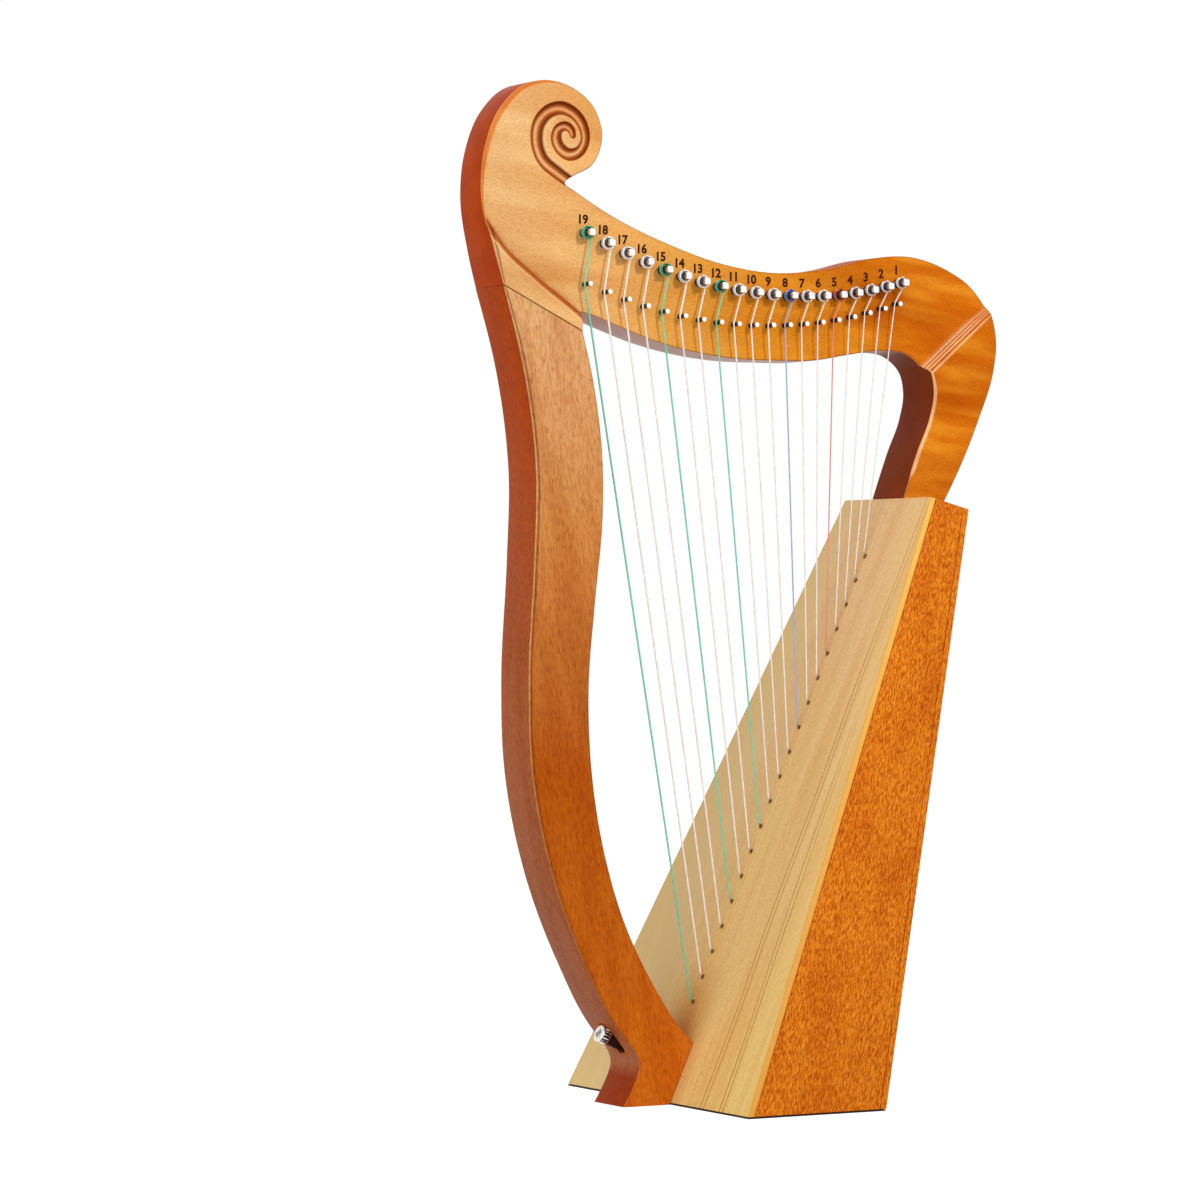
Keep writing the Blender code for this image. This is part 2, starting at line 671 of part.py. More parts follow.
def make_foot_bolt(steel, brass, black):
    """A cap screw through the pillar's foot, whose head pulls on a sleeve in the counterbore."""
    head_seat = COUNTERBORE_FLOOR + GAP + SLEEVE_LENGTH + GAP
    head_end = head_seat + BOLT_HEAD_LENGTH
    tip = -BOARD_THICKNESS - GAP - INSERT_LENGTH - BOLT_TIP
    chamfer = BOLT_RADIUS / 5
    profile = ((tip, BOLT_RADIUS - chamfer), (tip + chamfer, BOLT_RADIUS), (head_seat, BOLT_RADIUS),
               (head_seat, BOLT_HEAD_RADIUS), (head_end - chamfer, BOLT_HEAD_RADIUS),
               (head_end, BOLT_HEAD_RADIUS - chamfer))
    start = on_board(BOLT_HEIGHT, 0)
    bolt = lay_along(add_body("foot_bolt", turned(profile, DOWEL_SIDES), steel), start, OFF_BOARD)
    socket = turned(((head_end - BOLT_HEAD_LENGTH / 2, BOLT_SOCKET), (head_end + OVERCUT, BOLT_SOCKET)), 6)
    combine(bolt, lay_along(add_body("hex_socket", socket), start, OFF_BOARD), "DIFFERENCE")
    bore = clear_radius(BOLT_RADIUS, DOWEL_SIDES)
    sleeve = add_body("foot_sleeve", turned_ring(bore, SLEEVE_RADIUS, SLEEVE_LENGTH, DOWEL_SIDES), black)
    lay_along(sleeve, on_board(BOLT_HEIGHT, COUNTERBORE_FLOOR + GAP), OFF_BOARD)
    insert = add_body("foot_insert", turned_ring(bore, INSERT_RADIUS, INSERT_LENGTH, DOWEL_SIDES), brass)
    lay_along(insert, on_board(BOLT_HEIGHT, -BOARD_THICKNESS - GAP - INSERT_LENGTH), OFF_BOARD)


def tuning_pin_mesh(steel):
    """A round shank with a square head; its own origin is on its axis at the neck's face."""
    quarter = math.pi / 2
    square = [(1, 0), (1, PIN_HEAD_CORNER), (PIN_HEAD_CORNER, 1)]
    round_arc = [(math.cos(quarter * i / 3), math.sin(quarter * i / 3)) for i in range(3)]

    def ring(level, half, arc):
        points = []
        for turn in range(4):
            c, s = math.cos(quarter * turn), math.sin(quarter * turn)
            points += [((x * c - z * s) * half, level, (x * s + z * c) * half) for x, z in arc]
        return points

    tip = PIN_RADIUS / 4
    neck_line = -PIN_SHANK
    head_end = neck_line - PIN_HEAD_LENGTH
    body = loft([
        ring(PIN_DEPTH, PIN_RADIUS - tip, round_arc), ring(PIN_DEPTH - tip, PIN_RADIUS, round_arc),
        ring(neck_line, PIN_RADIUS, round_arc), ring(neck_line - tip / 2, PIN_HEAD_HALF, square),
        ring(head_end + tip / 2, PIN_HEAD_HALF, square), ring(head_end, PIN_HEAD_HALF - tip / 2, square)])
    pattern = add_body("tuning_pin_pattern", body, steel)
    mesh = pattern.data
    bpy.data.objects.remove(pattern)
    return mesh


def make_tuning_pins(steel):
    mesh = tuning_pin_mesh(steel)
    for number in range(STRINGS):
        pin = add_mesh_object(f"tuning_pin_{number + 1:02d}", mesh)
        place = tuning_pin_place(number)
        pin.location = (place.x, NECK_FACE, place.y)


def string_route(number):
    """A string's middle line and swell: winding, past the bridge pin, into the board, knot."""
    radius = string_radius(number)
    pin, bridge = tuning_pin_place(number), bridge_pin_place(number)
    coil = (PIN_RADIUS + radius + GAP) / math.cos(math.pi / TURN_POINTS)
    bend = BRIDGE_PIN_RADIUS + radius + GAP
    coil_level, bridge_level = NECK_FACE - WINDING_STANDOFF, NECK_FACE - BRIDGE_STANDOFF
    entry = on_board(hole_height(number), EYELET_HEIGHT + radius + 2 * GAP)

    # The straight from the bridge pin's left side to the tuning pin's right side
    up = pin - bridge
    slant = -(coil + bend) / up.length
    up.normalize()
    right = up * slant + Vector((up.y, -up.x)) * math.sqrt(1 - slant**2)
    leaves_coil, meets_bridge = pin + right * coil, bridge - right * bend

    # The straight from the soundboard to the bridge pin's left side
    rise = bridge - entry
    slant = bend / rise.length
    rise.normalize()
    side = rise * slant + Vector((rise.y, -rise.x)) * math.sqrt(1 - slant**2)
    leaves_bridge = bridge - side * bend

    route = []
    start = math.atan2(right.y, right.x)
    count = round(WINDING_TURNS * TURN_POINTS)
    for i in range(count, 0, -1):
        a = start + 2 * math.pi * i / TURN_POINTS
        level = coil_level - (2 * radius + TURN_GAP) * i / TURN_POINTS
        route.append((pin.x + coil * math.cos(a), level, pin.y + coil * math.sin(a), 1))
    route.append((leaves_coil.x, coil_level, leaves_coil.y, 1))
    middle = bridge - (right + side).normalized() * bend
    for point in (meets_bridge, middle, leaves_bridge):
        route.append((point.x, bridge_level, point.y, 1))

    # A short curve turns the string square into its hole
    lead = 0.0016
    into = -OFF_BOARD
    before = Vector((entry.x, 0, entry.y)).lerp(
        Vector((leaves_bridge.x, bridge_level, leaves_bridge.y)), lead / (leaves_bridge - entry).length)
    after = entry + into * lead
    corner, after = Vector((entry.x, 0, entry.y)), Vector((after.x, 0, after.y))
    for i in range(4):
        t = i / 3
        p = before * (1 - t)**2 + corner * 2 * t * (1 - t) + after * t**2
        route.append((p.x, p.y, p.z, 1))
    knot = -BOARD_THICKNESS - RIB_THICKNESS - 2 * GAP
    for out, swell in ((knot + GAP, 1), (knot - radius, KNOT_SWELL),
                       (knot - KNOT_LENGTH + radius, KNOT_SWELL), (knot - KNOT_LENGTH, 0.8)):
        p = on_board(hole_height(number), out)
        route.append((p.x, 0, p.y, swell))
    return route, radius


def least_gap(route, radius):
    """The least gap of the winding to itself and to the string that leaves it, on finely set points."""
    turn = math.ceil(TURN_POINTS * 0.7)
    fine = []
    for index in range(round(WINDING_TURNS * TURN_POINTS) + 1):
        a, b = Vector(route[index][:3]), Vector(route[index + 1][:3])
        fine += [(index + i / 8, a.lerp(b, i / 8)) for i in range(8)]
    least = min((p - q).length for i, p in fine for j, q in fine if j - i > turn)
    return least - 2 * radius


def make_strings(nylon, colored):
    """Each string is one unbroken tube; four are dyed green, one blue and one red as landmarks."""
    gaps = []
    for number in range(STRINGS):
        route, radius = string_route(number)
        gaps.append(least_gap(route, radius))
        curve = bpy.data.curves.new(f"string_{number + 1:02d}", "CURVE")
        curve.dimensions = "3D"
        curve.bevel_depth = radius
        curve.bevel_resolution = 1
        curve.use_fill_caps = True
        spline = curve.splines.new("POLY")
        spline.points.add(len(route) - 1)
        for point, (x, y, z, swell) in zip(spline.points, route):
            point.co = (x, y, z, 1)
            point.radius = swell
        curve.materials.append(colored.get(number, nylon))
        item = bpy.data.objects.new(curve.name, curve)
        bpy.context.scene.collection.objects.link(item)
    print(f"least gap of a winding to itself: {min(gaps) * 1000:.2f} mm")


def main():
    clear_scene()
    maple = make_material("stained_maple", (0.66, 0.30, 0.06), 0.38)
    mahogany = make_material("stained_mahogany", (0.60, 0.22, 0.03), 0.45)
    spruce = make_material("spruce", (0.80, 0.52, 0.24), 0.5)
    hardwood = make_material("plain_hardwood", (0.55, 0.36, 0.20), 0.6)
    dark_wood = make_material("dark_wood", (0.08, 0.04, 0.02), 0.6)
    steel = make_material("nickel_plated_steel", (0.75, 0.75, 0.77), 0.22, 1.0)
    brass = make_material("brass", (0.72, 0.52, 0.22), 0.3, 1.0)
    nylon = make_material("clear_nylon", (0.85, 0.85, 0.83), 0.3)
    black = make_material("black_nylon", (0.02, 0.016, 0.014), 0.4)
    green = make_material("green_nylon", (0.05, 0.50, 0.30), 0.3)
    blue = make_material("blue_nylon", (0.10, 0.18, 0.55), 0.3)
    red = make_material("red_nylon", (0.60, 0.04, 0.04), 0.3)
    dowel_hole_cutter("pillar_dowel_holes", pillar_dowel_starts(), joint_direction())
    dowel_hole_cutter("shoulder_dowel_holes", shoulder_dowel_starts(), ALONG_BACK)
    make_neck(maple)
    make_pillar(maple)
    dowel_pair(("pillar_dowel_outer", "pillar_dowel_inner"),
               pillar_dowel_starts(), joint_direction(), hardwood)
    dowel_pair(("shoulder_dowel_near", "shoulder_dowel_far"),
               shoulder_dowel_starts(), ALONG_BACK, hardwood)
    make_soundboard(spruce)
    make_string_rib(hardwood)
    make_side_walls(mahogany)
    make_back_panel(mahogany)
    make_base_panel(dark_wood)
    make_top_block(hardwood)
    make_foot_block(hardwood)
    make_foot_bolt(steel, brass, black)
    make_tuning_pins(steel)
    make_strings(nylon, {0: green, 4: green, 7: green, 11: blue, 14: red})


main()
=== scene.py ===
"""The looks of a nineteen-string lyre harp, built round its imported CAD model.

The sections follow the harp as it is put together: the soundbox, the frame that is
bolted and dowelled to it, then the pins and the strings, and last the studio.
"""

import math

import bmesh
import bpy
import numpy as np
from mathutils import Matrix, Vector
from mathutils.geometry import delaunay_2d_cdt


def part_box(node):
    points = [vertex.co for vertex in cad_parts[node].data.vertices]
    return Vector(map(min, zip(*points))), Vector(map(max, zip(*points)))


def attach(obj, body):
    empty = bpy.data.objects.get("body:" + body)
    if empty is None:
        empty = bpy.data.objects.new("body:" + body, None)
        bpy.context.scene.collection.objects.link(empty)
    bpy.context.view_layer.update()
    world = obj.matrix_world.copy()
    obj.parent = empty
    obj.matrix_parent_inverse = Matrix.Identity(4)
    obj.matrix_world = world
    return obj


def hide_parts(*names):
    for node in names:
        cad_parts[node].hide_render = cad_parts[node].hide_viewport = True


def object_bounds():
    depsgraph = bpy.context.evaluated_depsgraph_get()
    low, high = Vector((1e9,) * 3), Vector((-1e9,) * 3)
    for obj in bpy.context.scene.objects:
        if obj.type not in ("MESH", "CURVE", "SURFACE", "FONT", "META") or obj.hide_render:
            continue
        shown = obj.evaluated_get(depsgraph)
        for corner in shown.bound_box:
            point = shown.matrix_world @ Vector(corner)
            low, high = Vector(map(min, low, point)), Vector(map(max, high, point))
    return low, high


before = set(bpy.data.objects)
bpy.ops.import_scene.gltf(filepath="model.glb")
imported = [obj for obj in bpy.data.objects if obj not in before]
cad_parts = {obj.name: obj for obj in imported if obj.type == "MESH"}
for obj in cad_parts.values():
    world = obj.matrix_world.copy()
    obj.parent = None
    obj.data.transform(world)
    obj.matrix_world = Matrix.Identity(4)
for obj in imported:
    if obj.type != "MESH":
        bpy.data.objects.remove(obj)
cad_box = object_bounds()


# Blocks, rib, insert and dowels
# Plain hardwood, left bare, glued inside the soundbox and the joints of the frame.
# A brass insert in the foot block takes the bolt. Their CAD solids stay as they are,
# because only the sound holes at the back give a glimpse of them.

MM = 0.001
UP = (0.0, 0.0, 1.0)
BARE_HARDWOOD = (186, 142, 98)
BRASS = (196, 152, 82)
BRASS_SHADE = (150, 108, 52)
GRAIN_RELIEF = 0.03 * MM


def light(seen):
    """A seen colour, from 0 to 255, as the light that a socket takes. Others stay as they are."""
    if not isinstance(seen, tuple):
        return seen
    parts = [part / 255 for part in seen]
    return (*[p / 12.92 if p <= 0.04045 else ((p + 0.055) / 1.055) ** 2.4 for p in parts], 1)


def feed(item, inputs):
    """Sets or links a node's inputs, by name or number."""
    for key, value in inputs.items():
        if isinstance(value, bpy.types.NodeSocket):
            tree.links.new(value, item.inputs[key])
        else:
            item.inputs[key].default_value = value


def add(kind, inputs=None, **settings):
    """A node with its settings and inputs, in the tree in hand."""
    item = tree.nodes.new(kind)
    for key, value in settings.items():
        setattr(item, key, value)
    feed(item, inputs or {})
    return item


def tint(share, first, second, how="MIX"):
    """Two colours mixed by a share from 0 to 1."""
    inputs = {0: share, 6: light(first), 7: light(second)}
    return add("ShaderNodeMix", inputs, data_type="RGBA", blend_type=how).outputs[2]


def spread(value, low, high, new_low=0.0, new_high=1.0):
    """The stretch of a value from low to high, spread over new limits and held at both."""
    return add("ShaderNodeMapRange", {0: value, 1: low, 2: high, 3: new_low, 4: new_high}).outputs[0]


def maths(how, first, second=0.0):
    return add("ShaderNodeMath", {0: first, 1: second}, operation=how).outputs[0]


def times(first, second):
    return maths("MULTIPLY", first, second)


def minus(first, second):
    return maths("SUBTRACT", first, second)


def plus(first, second):
    return maths("ADD", first, second)


def own_place():
    return add("ShaderNodeTexCoord").outputs["Object"]


def blots(along, size, seed=0.0, detail=2.0):
    """Noise whose blots are as long, wide and deep as `size`, laid along a direction."""
    side = Vector((0, 1, 0))
    third = Vector(along).cross(side).normalized()
    turn = Matrix((along, side, third)).transposed().to_euler()
    place = add("ShaderNodeMapping", {
        "Vector": own_place(), "Location": (seed, 0.7 * seed, 1.3 * seed), "Rotation": turn,
        "Scale": size}, vector_type="TEXTURE").outputs[0]
    return add("ShaderNodeTexNoise", {"Vector": place, "Scale": 1.0, "Detail": detail}).outputs["Fac"]


def finish_material(name, shine, base=None):
    """A new material whose tree is in hand, with the plain numbers set on its shader itself."""
    global tree
    material = bpy.data.materials.new(name)
    material.use_nodes = True
    tree = material.node_tree
    shader = tree.nodes["Principled BSDF"]
    feed(shader, {**shine, "Base Color": light(base)} if base else shine)
    return material, shader


def emboss(shader, height, relief):
    bump = add("ShaderNodeBump", {"Strength": 1.0, "Distance": relief, "Height": height})
    feed(shader, {"Normal": bump.outputs[0]})


def wood(name, along, base, layers, shine):
    """Wood: a base colour under layers of grain that each darken it along one direction.

    A layer is its tone, the length and width of its marks, the low and high noise between
    which they fade in, their strength, and how deep they are in the surface."""
    material, shader = finish_material(name, shine)
    color = base() if callable(base) else base
    height = None
    for seed, (tone, length, width, low, high, strength, depth) in enumerate(layers, 1):
        marks = blots(along, (length, width, width), seed * 0.31)
        share = spread(marks, low, high, 0.0, strength)
        color = tint(share, color, tone, "MULTIPLY")
        if depth:
            dip = times(share, -depth)
            height = dip if height is None else plus(height, dip)
    feed(shader, {"Base Color": color})
    if height is not None:
        emboss(shader, height, GRAIN_RELIEF)
    return material


def clad(node, material):
    """Gives a CAD solid that stays as it is a material."""
    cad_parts[node].data.materials.clear()
    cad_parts[node].data.materials.append(material)


bare_hardwood = wood("bare_hardwood", UP, BARE_HARDWOOD, [
    ((205, 180, 150), 0.06, 0.004, 0.40, 0.65, 0.8, 0.0),
    ((150, 110, 80), 0.006, 0.0004, 0.60, 0.75, 0.7, 1.0),
], {"Roughness": 0.65})

for node in ("top_block", "foot_block", "string_rib", "pillar_dowel_outer", "pillar_dowel_inner",
             "shoulder_dowel_near", "shoulder_dowel_far"):
    clad(node, bare_hardwood)

plain_brass, brass_shader = finish_material("plain_brass", {"Metallic": 1.0, "Roughness": 0.34}, BRASS)
feed(brass_shader, {"Base Color": tint(blots(UP, (0.002, 0.002, 0.002)), BRASS, BRASS_SHADE)})
clad("foot_insert", plain_brass)


# Base panel
# A thin panel of dark-stained wood that closes the soundbox. Its block fits between the
# walls, and its thin lip lies under them, so that it shows as a fine dark line at the floor.
# That dark line is partly the panel's own stain and partly a painted shadow line at the floor.

DARK_STAIN_AND_SHADOW = (38, 24, 18)
BASE_DEPTH = 0.095
BASE_WIDTH = 0.220
LIP_HEIGHT = 0.0008
LIP_INSET = 0.0004
FRONT_INSET = 0.0004
BACK_INSET = 0.0006
FRONT_LEAN = 0.0027
SIDE_LEAN = 0.0006


def in_scene(name, data):
    """A new object in the scene."""
    item = bpy.data.objects.new(name, data)
    bpy.context.scene.collection.objects.link(item)
    return item


def plain_mesh(name, body):
    """The mesh of a finished bmesh."""
    mesh = bpy.data.meshes.new(name)
    body.to_mesh(mesh)
    body.free()
    return mesh


def add_piece(name, shape, material, rides_on, stands_for=(), sharp=35):
    """A finished mesh or bmesh as a piece that rides on a CAD body and stands for CAD nodes."""
    mesh = plain_mesh(name, shape) if isinstance(shape, bmesh.types.BMesh) else shape
    mesh.shade_smooth()
    mesh.set_sharp_from_angle(angle=math.radians(sharp))
    mesh.materials.clear()
    mesh.materials.append(material)
    piece = in_scene(name, mesh)
    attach(piece, rides_on)
    if stands_for:
        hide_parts(*stands_for)


def loft(rings, closed=False):
    """A closed body through rings of points, capped at both ends or joined end to start."""
    body = bmesh.new()
    loops = [[body.verts.new(point) for point in ring] for ring in rings]
    if closed:
        loops.append(loops[0])
    else:
        body.faces.new(loops[0])
        body.faces.new(loops[-1])
    for first, second in zip(loops, loops[1:]):
        for i in range(len(first)):
            j = (i + 1) % len(first)
            body.faces.new((first[i], first[j], second[j], second[i]))
    bmesh.ops.recalc_face_normals(body, faces=body.faces[:])
    return body


def flat_ring(x0, x1, half, z):
    return [(x0, -half, z), (x1, -half, z), (x1, half, z), (x0, half, z)]


low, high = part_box("base_panel")
lip = (LIP_INSET - BASE_DEPTH / 2, BASE_DEPTH / 2 - LIP_INSET, BASE_WIDTH / 2 - LIP_INSET)
base_body = loft([flat_ring(*lip, 0.0), flat_ring(*lip, LIP_HEIGHT),
                  flat_ring(low[0] + FRONT_INSET, high[0] - BACK_INSET, high[1] - 0.1 * MM, LIP_HEIGHT),
                  flat_ring(low[0] + FRONT_LEAN, high[0], high[1] - SIDE_LEAN, high[2])])
# The panel's dark colour is partly its own stain and partly a painted shadow line at the floor.
dark_stain_and_shadow_line = wood("dark_stain_and_shadow_line", (1.0, 0.0, 0.0), DARK_STAIN_AND_SHADOW, [
    ((170, 150, 140), 0.02, 0.001, 0.45, 0.65, 0.8, 1.0),
], {"Roughness": 0.6, "IOR": 1.2})
add_piece("base_panel_lipped", base_body, dark_stain_and_shadow_line, "frame", ["base_panel"])


# Side walls
# Boards of a mottled reddish wood under an orange-brown stain and a satin lacquer.
# Their grain runs up the box, full of short dark pores.

WALL_STAIN = (238, 144, 36)
WALL_EASING = 0.0005
WALL_GRAIN = (0.33, 0.0, 0.944)
SATIN = {"Roughness": 0.40, "IOR": 1.10, "Specular Tint": (1.0, 0.66, 0.36, 1),
         "Coat Weight": 0.02, "Coat Roughness": 0.15}


def ease(body, edges, easing):
    """Rubs edges round."""
    bmesh.ops.bevel(body, geom=edges, offset=easing, segments=3, profile=0.5, affect="EDGES")


def eased_copy(node, material, easing):
    """A CAD piece's own shape with its long edges rubbed round, which stands for that piece."""
    body = bmesh.new()
    body.from_mesh(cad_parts[node].data)
    bmesh.ops.remove_doubles(body, verts=body.verts[:], dist=0.02 * MM)
    bmesh.ops.dissolve_limit(body, angle_limit=math.radians(1),
                             verts=body.verts[:], edges=body.edges[:])
    long_edges = [e for e in body.edges if e.calc_length() > 12 * MM and e.calc_face_angle(0) > 0.5]
    ease(body, long_edges, easing)
    add_piece(node + "_eased", body, material, "frame", [node])


def mottled(name, along):
    return wood(name, along, WALL_STAIN, [
        ((222, 180, 140), 0.06, 0.020, 0.44, 0.62, 0.4, 0.0),
        ((190, 128, 76), 0.0130, 0.0006, 0.44, 0.57, 0.75, 0.6),
        ((196, 136, 84), 0.0070, 0.00035, 0.46, 0.58, 0.5, 0.8),
    ], SATIN)


mottled_wall = mottled("mottled_wall", WALL_GRAIN)
for node in ("side_wall_near", "side_wall_far"):
    eased_copy(node, mottled_wall, WALL_EASING)


# Back panel
# A thinner board of the same wood, glued on the walls' back edges. It leans towards the
# soundboard, and it has three oval sound holes through which the strings are threaded.

BOX_HEIGHT = 0.365
BOX_LEAN = 0.166
TOP_WIDTH = 0.099
TOP_DEPTH = 0.0277
FOOT = Vector((-BASE_DEPTH / 2, 0))
SEAT = FOOT + Vector((BOX_LEAN, BOX_HEIGHT))
ALONG_BOARD = (SEAT - FOOT).normalized()
OFF_BOARD = Vector((-ALONG_BOARD.y, ALONG_BOARD.x))
HEEL = FOOT + Vector((BASE_DEPTH, 0))
HEEL_TO_SEAT = SEAT - HEEL
BACK_LEAN = math.atan2(HEEL_TO_SEAT.x, HEEL_TO_SEAT.y) + math.asin(TOP_DEPTH / HEEL_TO_SEAT.length)
ALONG_BACK = Vector((math.sin(BACK_LEAN), math.cos(BACK_LEAN)))
OFF_BACK = Vector((ALONG_BACK.y, -ALONG_BACK.x))
BACK_THICKNESS = 0.004
PANEL_PROUD = 0.001
SOUND_HOLES = ((0.085, 0.064, 0.046), (0.180, 0.054, 0.038), (0.262, 0.042, 0.030))
HOLE_EASING = 0.0006


def half_width(z):
    """Half of the soundbox's outer width at a height."""
    return (BASE_WIDTH - (BASE_WIDTH - TOP_WIDTH) * z / BOX_HEIGHT) / 2


def on_board(up, out):
    """A point `up` the soundboard from its foot and `out` from its front face."""
    return FOOT + ALONG_BOARD * up + OFF_BOARD * out


def on_top(back, up):
    """A point on the soundbox's top, `back` from its front corner and `up` from its face."""
    return SEAT + OFF_BACK * back + ALONG_BACK * up


def on_back(up, out):
    """A point `up` the back panel from its heel and `out` from its outer face."""
    return HEEL + ALONG_BACK * up + OFF_BACK * out


def at_y(point, y=0.0):
    """A point or direction of the XZ plane as one in space."""
    return Vector((point.x, y, point.y))


def crossing(point, direction, other_point, other_direction):
    """Where two lines in the XZ plane meet."""
    cross = direction.x * other_direction.y - direction.y * other_direction.x
    offset = other_point - point
    return point + direction * ((offset.x * other_direction.y - offset.y * other_direction.x) / cross)


def box_panel(section, easing):
    """A panel that spans the soundbox: a section in XZ between the two outer side planes."""
    body = loft([[(p.x, side * half_width(p.y), p.y) for p in section] for side in (-1, 1)])
    ease(body, body.edges[:], easing)
    return body


def round_ring(length, radius, sides, first=0.0):
    """The points of a circle round the Z axis, from `first` of a side on."""
    angles = [2 * math.pi * (i + first) / sides for i in range(sides)]
    return [(radius * math.cos(a), radius * math.sin(a), length) for a in angles]


def turned(profile, sides):
    """A round body along its own Z axis, from (length, radius) pairs."""
    return loft([round_ring(length, radius, sides, 0.5) for length, radius in profile])


def placed(body, place):
    """A body with each of its points moved by a placing function."""
    for vertex in body.verts:
        vertex.co = place(vertex.co)
    bmesh.ops.recalc_face_normals(body, faces=body.faces[:])
    return body


def made_mesh(item):
    """The plain mesh of an object as its modifiers or its text make it. The object goes."""
    depsgraph = bpy.context.evaluated_depsgraph_get()
    mesh = bpy.data.meshes.new_from_object(item.evaluated_get(depsgraph), depsgraph=depsgraph)
    item.modifiers.clear()
    bpy.data.objects.remove(item)
    return mesh


def cut(body, tools):
    """A body less its tools, each of which is a closed body that touches no other tool."""
    whole = bmesh.new()
    for each in tools:
        mesh = plain_mesh("tool", each)
        whole.from_mesh(mesh)
        bpy.data.meshes.remove(mesh)
    tool = in_scene("tools", plain_mesh("tools", whole))
    stock = in_scene("stock", plain_mesh("stock", body))
    modifier = stock.modifiers.new("cut", "BOOLEAN")
    modifier.object = tool
    modifier.solver = "EXACT"
    result = bmesh.new()
    result.from_mesh(made_mesh(stock))
    bpy.data.objects.remove(tool)
    return result


def panel_section(line, direction, off, thickness):
    """The corners of a board that runs from the floor line to the box's sloping top."""
    floor = (Vector((0, PANEL_PROUD)), Vector((1, 0)))
    top = (on_top(0, 0), OFF_BACK)
    outer, inner = line, line - off * thickness
    return [crossing(outer, direction, *floor), crossing(outer, direction, *top),
            crossing(inner, direction, *top), crossing(inner, direction, *floor)]


def sound_hole(up, width, height):
    """A tool for an oval hole through the back panel, flared where its rims are rubbed round."""
    flare = 2 * HOLE_EASING / width
    profile = [(-BACK_THICKNESS - HOLE_EASING, 1 + 2 * flare), (-BACK_THICKNESS + HOLE_EASING, 1.0),
               (-HOLE_EASING, 1.0), (HOLE_EASING, 1 + 2 * flare)]

    def place(co):
        return at_y(on_back(up + co.x * height / 2, co.z), co.y * width / 2)

    return placed(turned(profile, 72), place)


back_body = box_panel(panel_section(HEEL, ALONG_BACK, OFF_BACK, BACK_THICKNESS), WALL_EASING)
back_body = cut(back_body, [sound_hole(*sizes) for sizes in SOUND_HOLES])
mottled_back = mottled("mottled_back", at_y(ALONG_BACK))
add_piece("back_panel_eased", back_body, mottled_back, "frame", ["back_panel"])


# Soundboard
# A thin board of quarter-sawn spruce under a clear satin lacquer, glued on the front of
# the walls. Its grain runs straight up the board, with a few darker winter lines.

BOARD_THICKNESS = 0.0035
BOARD_EASING = 0.0005
STRINGS = range(19)
FIRST_HOLE = 0.0649
LAST_HOLE_MARGIN = 0.0393
BOARD_LENGTH = (SEAT - FOOT).length
BORE_START, BORE_END = -0.006, 0.003
BOLT_HEIGHT = 0.0236
BOLT_RADIUS = 0.003
STRING_BORE = 0.00095
GAP = 0.0003
SPRUCE = ((0.04, (255, 220, 140)), (0.30, (253, 210, 158)))
DARK_YEARS = ((0.0, -0.055), (0.06, -0.0545), (0.115, -0.0515), (0.2, -0.050), (0.28, -0.0475),
              (0.4, -0.0475))
OTHER_YEARS = ((0.0, -0.0775), (0.055, -0.0745), (0.111, -0.0699), (0.2, -0.064), (0.4, -0.055))
YEAR_PAIR = 0.0040
COURSE_HEIGHT = 0.4
COURSE_SHIFT = 0.1
YEAR_WIDTH = 0.0011
YEAR_SHADE = (230, 184, 112)
DARK_YEAR_SHADE = (190, 124, 40)
BOARD_EDGE_AND_HIGHLIGHT = ((0.05, (226, 154, 60)), (0.22, (232, 166, 64)), (0.36, (238, 182, 80)))


def hole_height(number):
    """How far up the soundboard a string's hole is."""
    return FIRST_HOLE + (BOARD_LENGTH - FIRST_HOLE - LAST_HOLE_MARGIN) * number / STRINGS[-1]


def lay_along(start, direction, y=0.0):
    """Lays a turned body's points along a direction of the XZ plane, from a point at Y = y."""
    across = Vector((direction.y, -direction.x))

    def place(co):
        return at_y(start + across * co.x + direction * co.z, y + co.y)

    return place


def board_bore(up, radius, sides):
    """A tool for a round hole through the soundboard."""
    return placed(turned(((BORE_START, radius), (BORE_END, radius)), sides),
                  lay_along(on_board(up, 0), OFF_BOARD))


board_body = box_panel(panel_section(FOOT, ALONG_BOARD, OFF_BOARD, BOARD_THICKNESS), BOARD_EASING)
board_body = cut(board_body, [board_bore(hole_height(i), STRING_BORE, 20) for i in STRINGS]
                 + [board_bore(BOLT_HEIGHT, BOLT_RADIUS + GAP, 32)])


def own_axis(axis):
    return add("ShaderNodeSeparateXYZ", {0: own_place()}).outputs[axis]


def graded(way, stops):
    """A colour that changes along an axis, through stops that each give a place and a colour."""
    color = stops[0][1]
    for (start, _), (end, seen) in zip(stops, stops[1:]):
        color = tint(spread(way, start, end), color, seen)
    return color


def run_of(up, course):
    """A number that follows a course of (height, number) pairs up the board."""
    bend = add("ShaderNodeFloatCurve", {"Value": spread(up, 0, COURSE_HEIGHT)})
    points = bend.mapping.curves[0].points
    while len(points) < len(course):
        points.new(0.5, 0.5)
    for point, (height, number) in zip(points, course):
        point.location = (height / COURSE_HEIGHT, (number + COURSE_SHIFT) / COURSE_SHIFT)
        point.handle_type = "AUTO_CLAMPED"
    bend.mapping.update()
    return minus(times(bend.outputs[0], COURSE_SHIFT), COURSE_SHIFT)


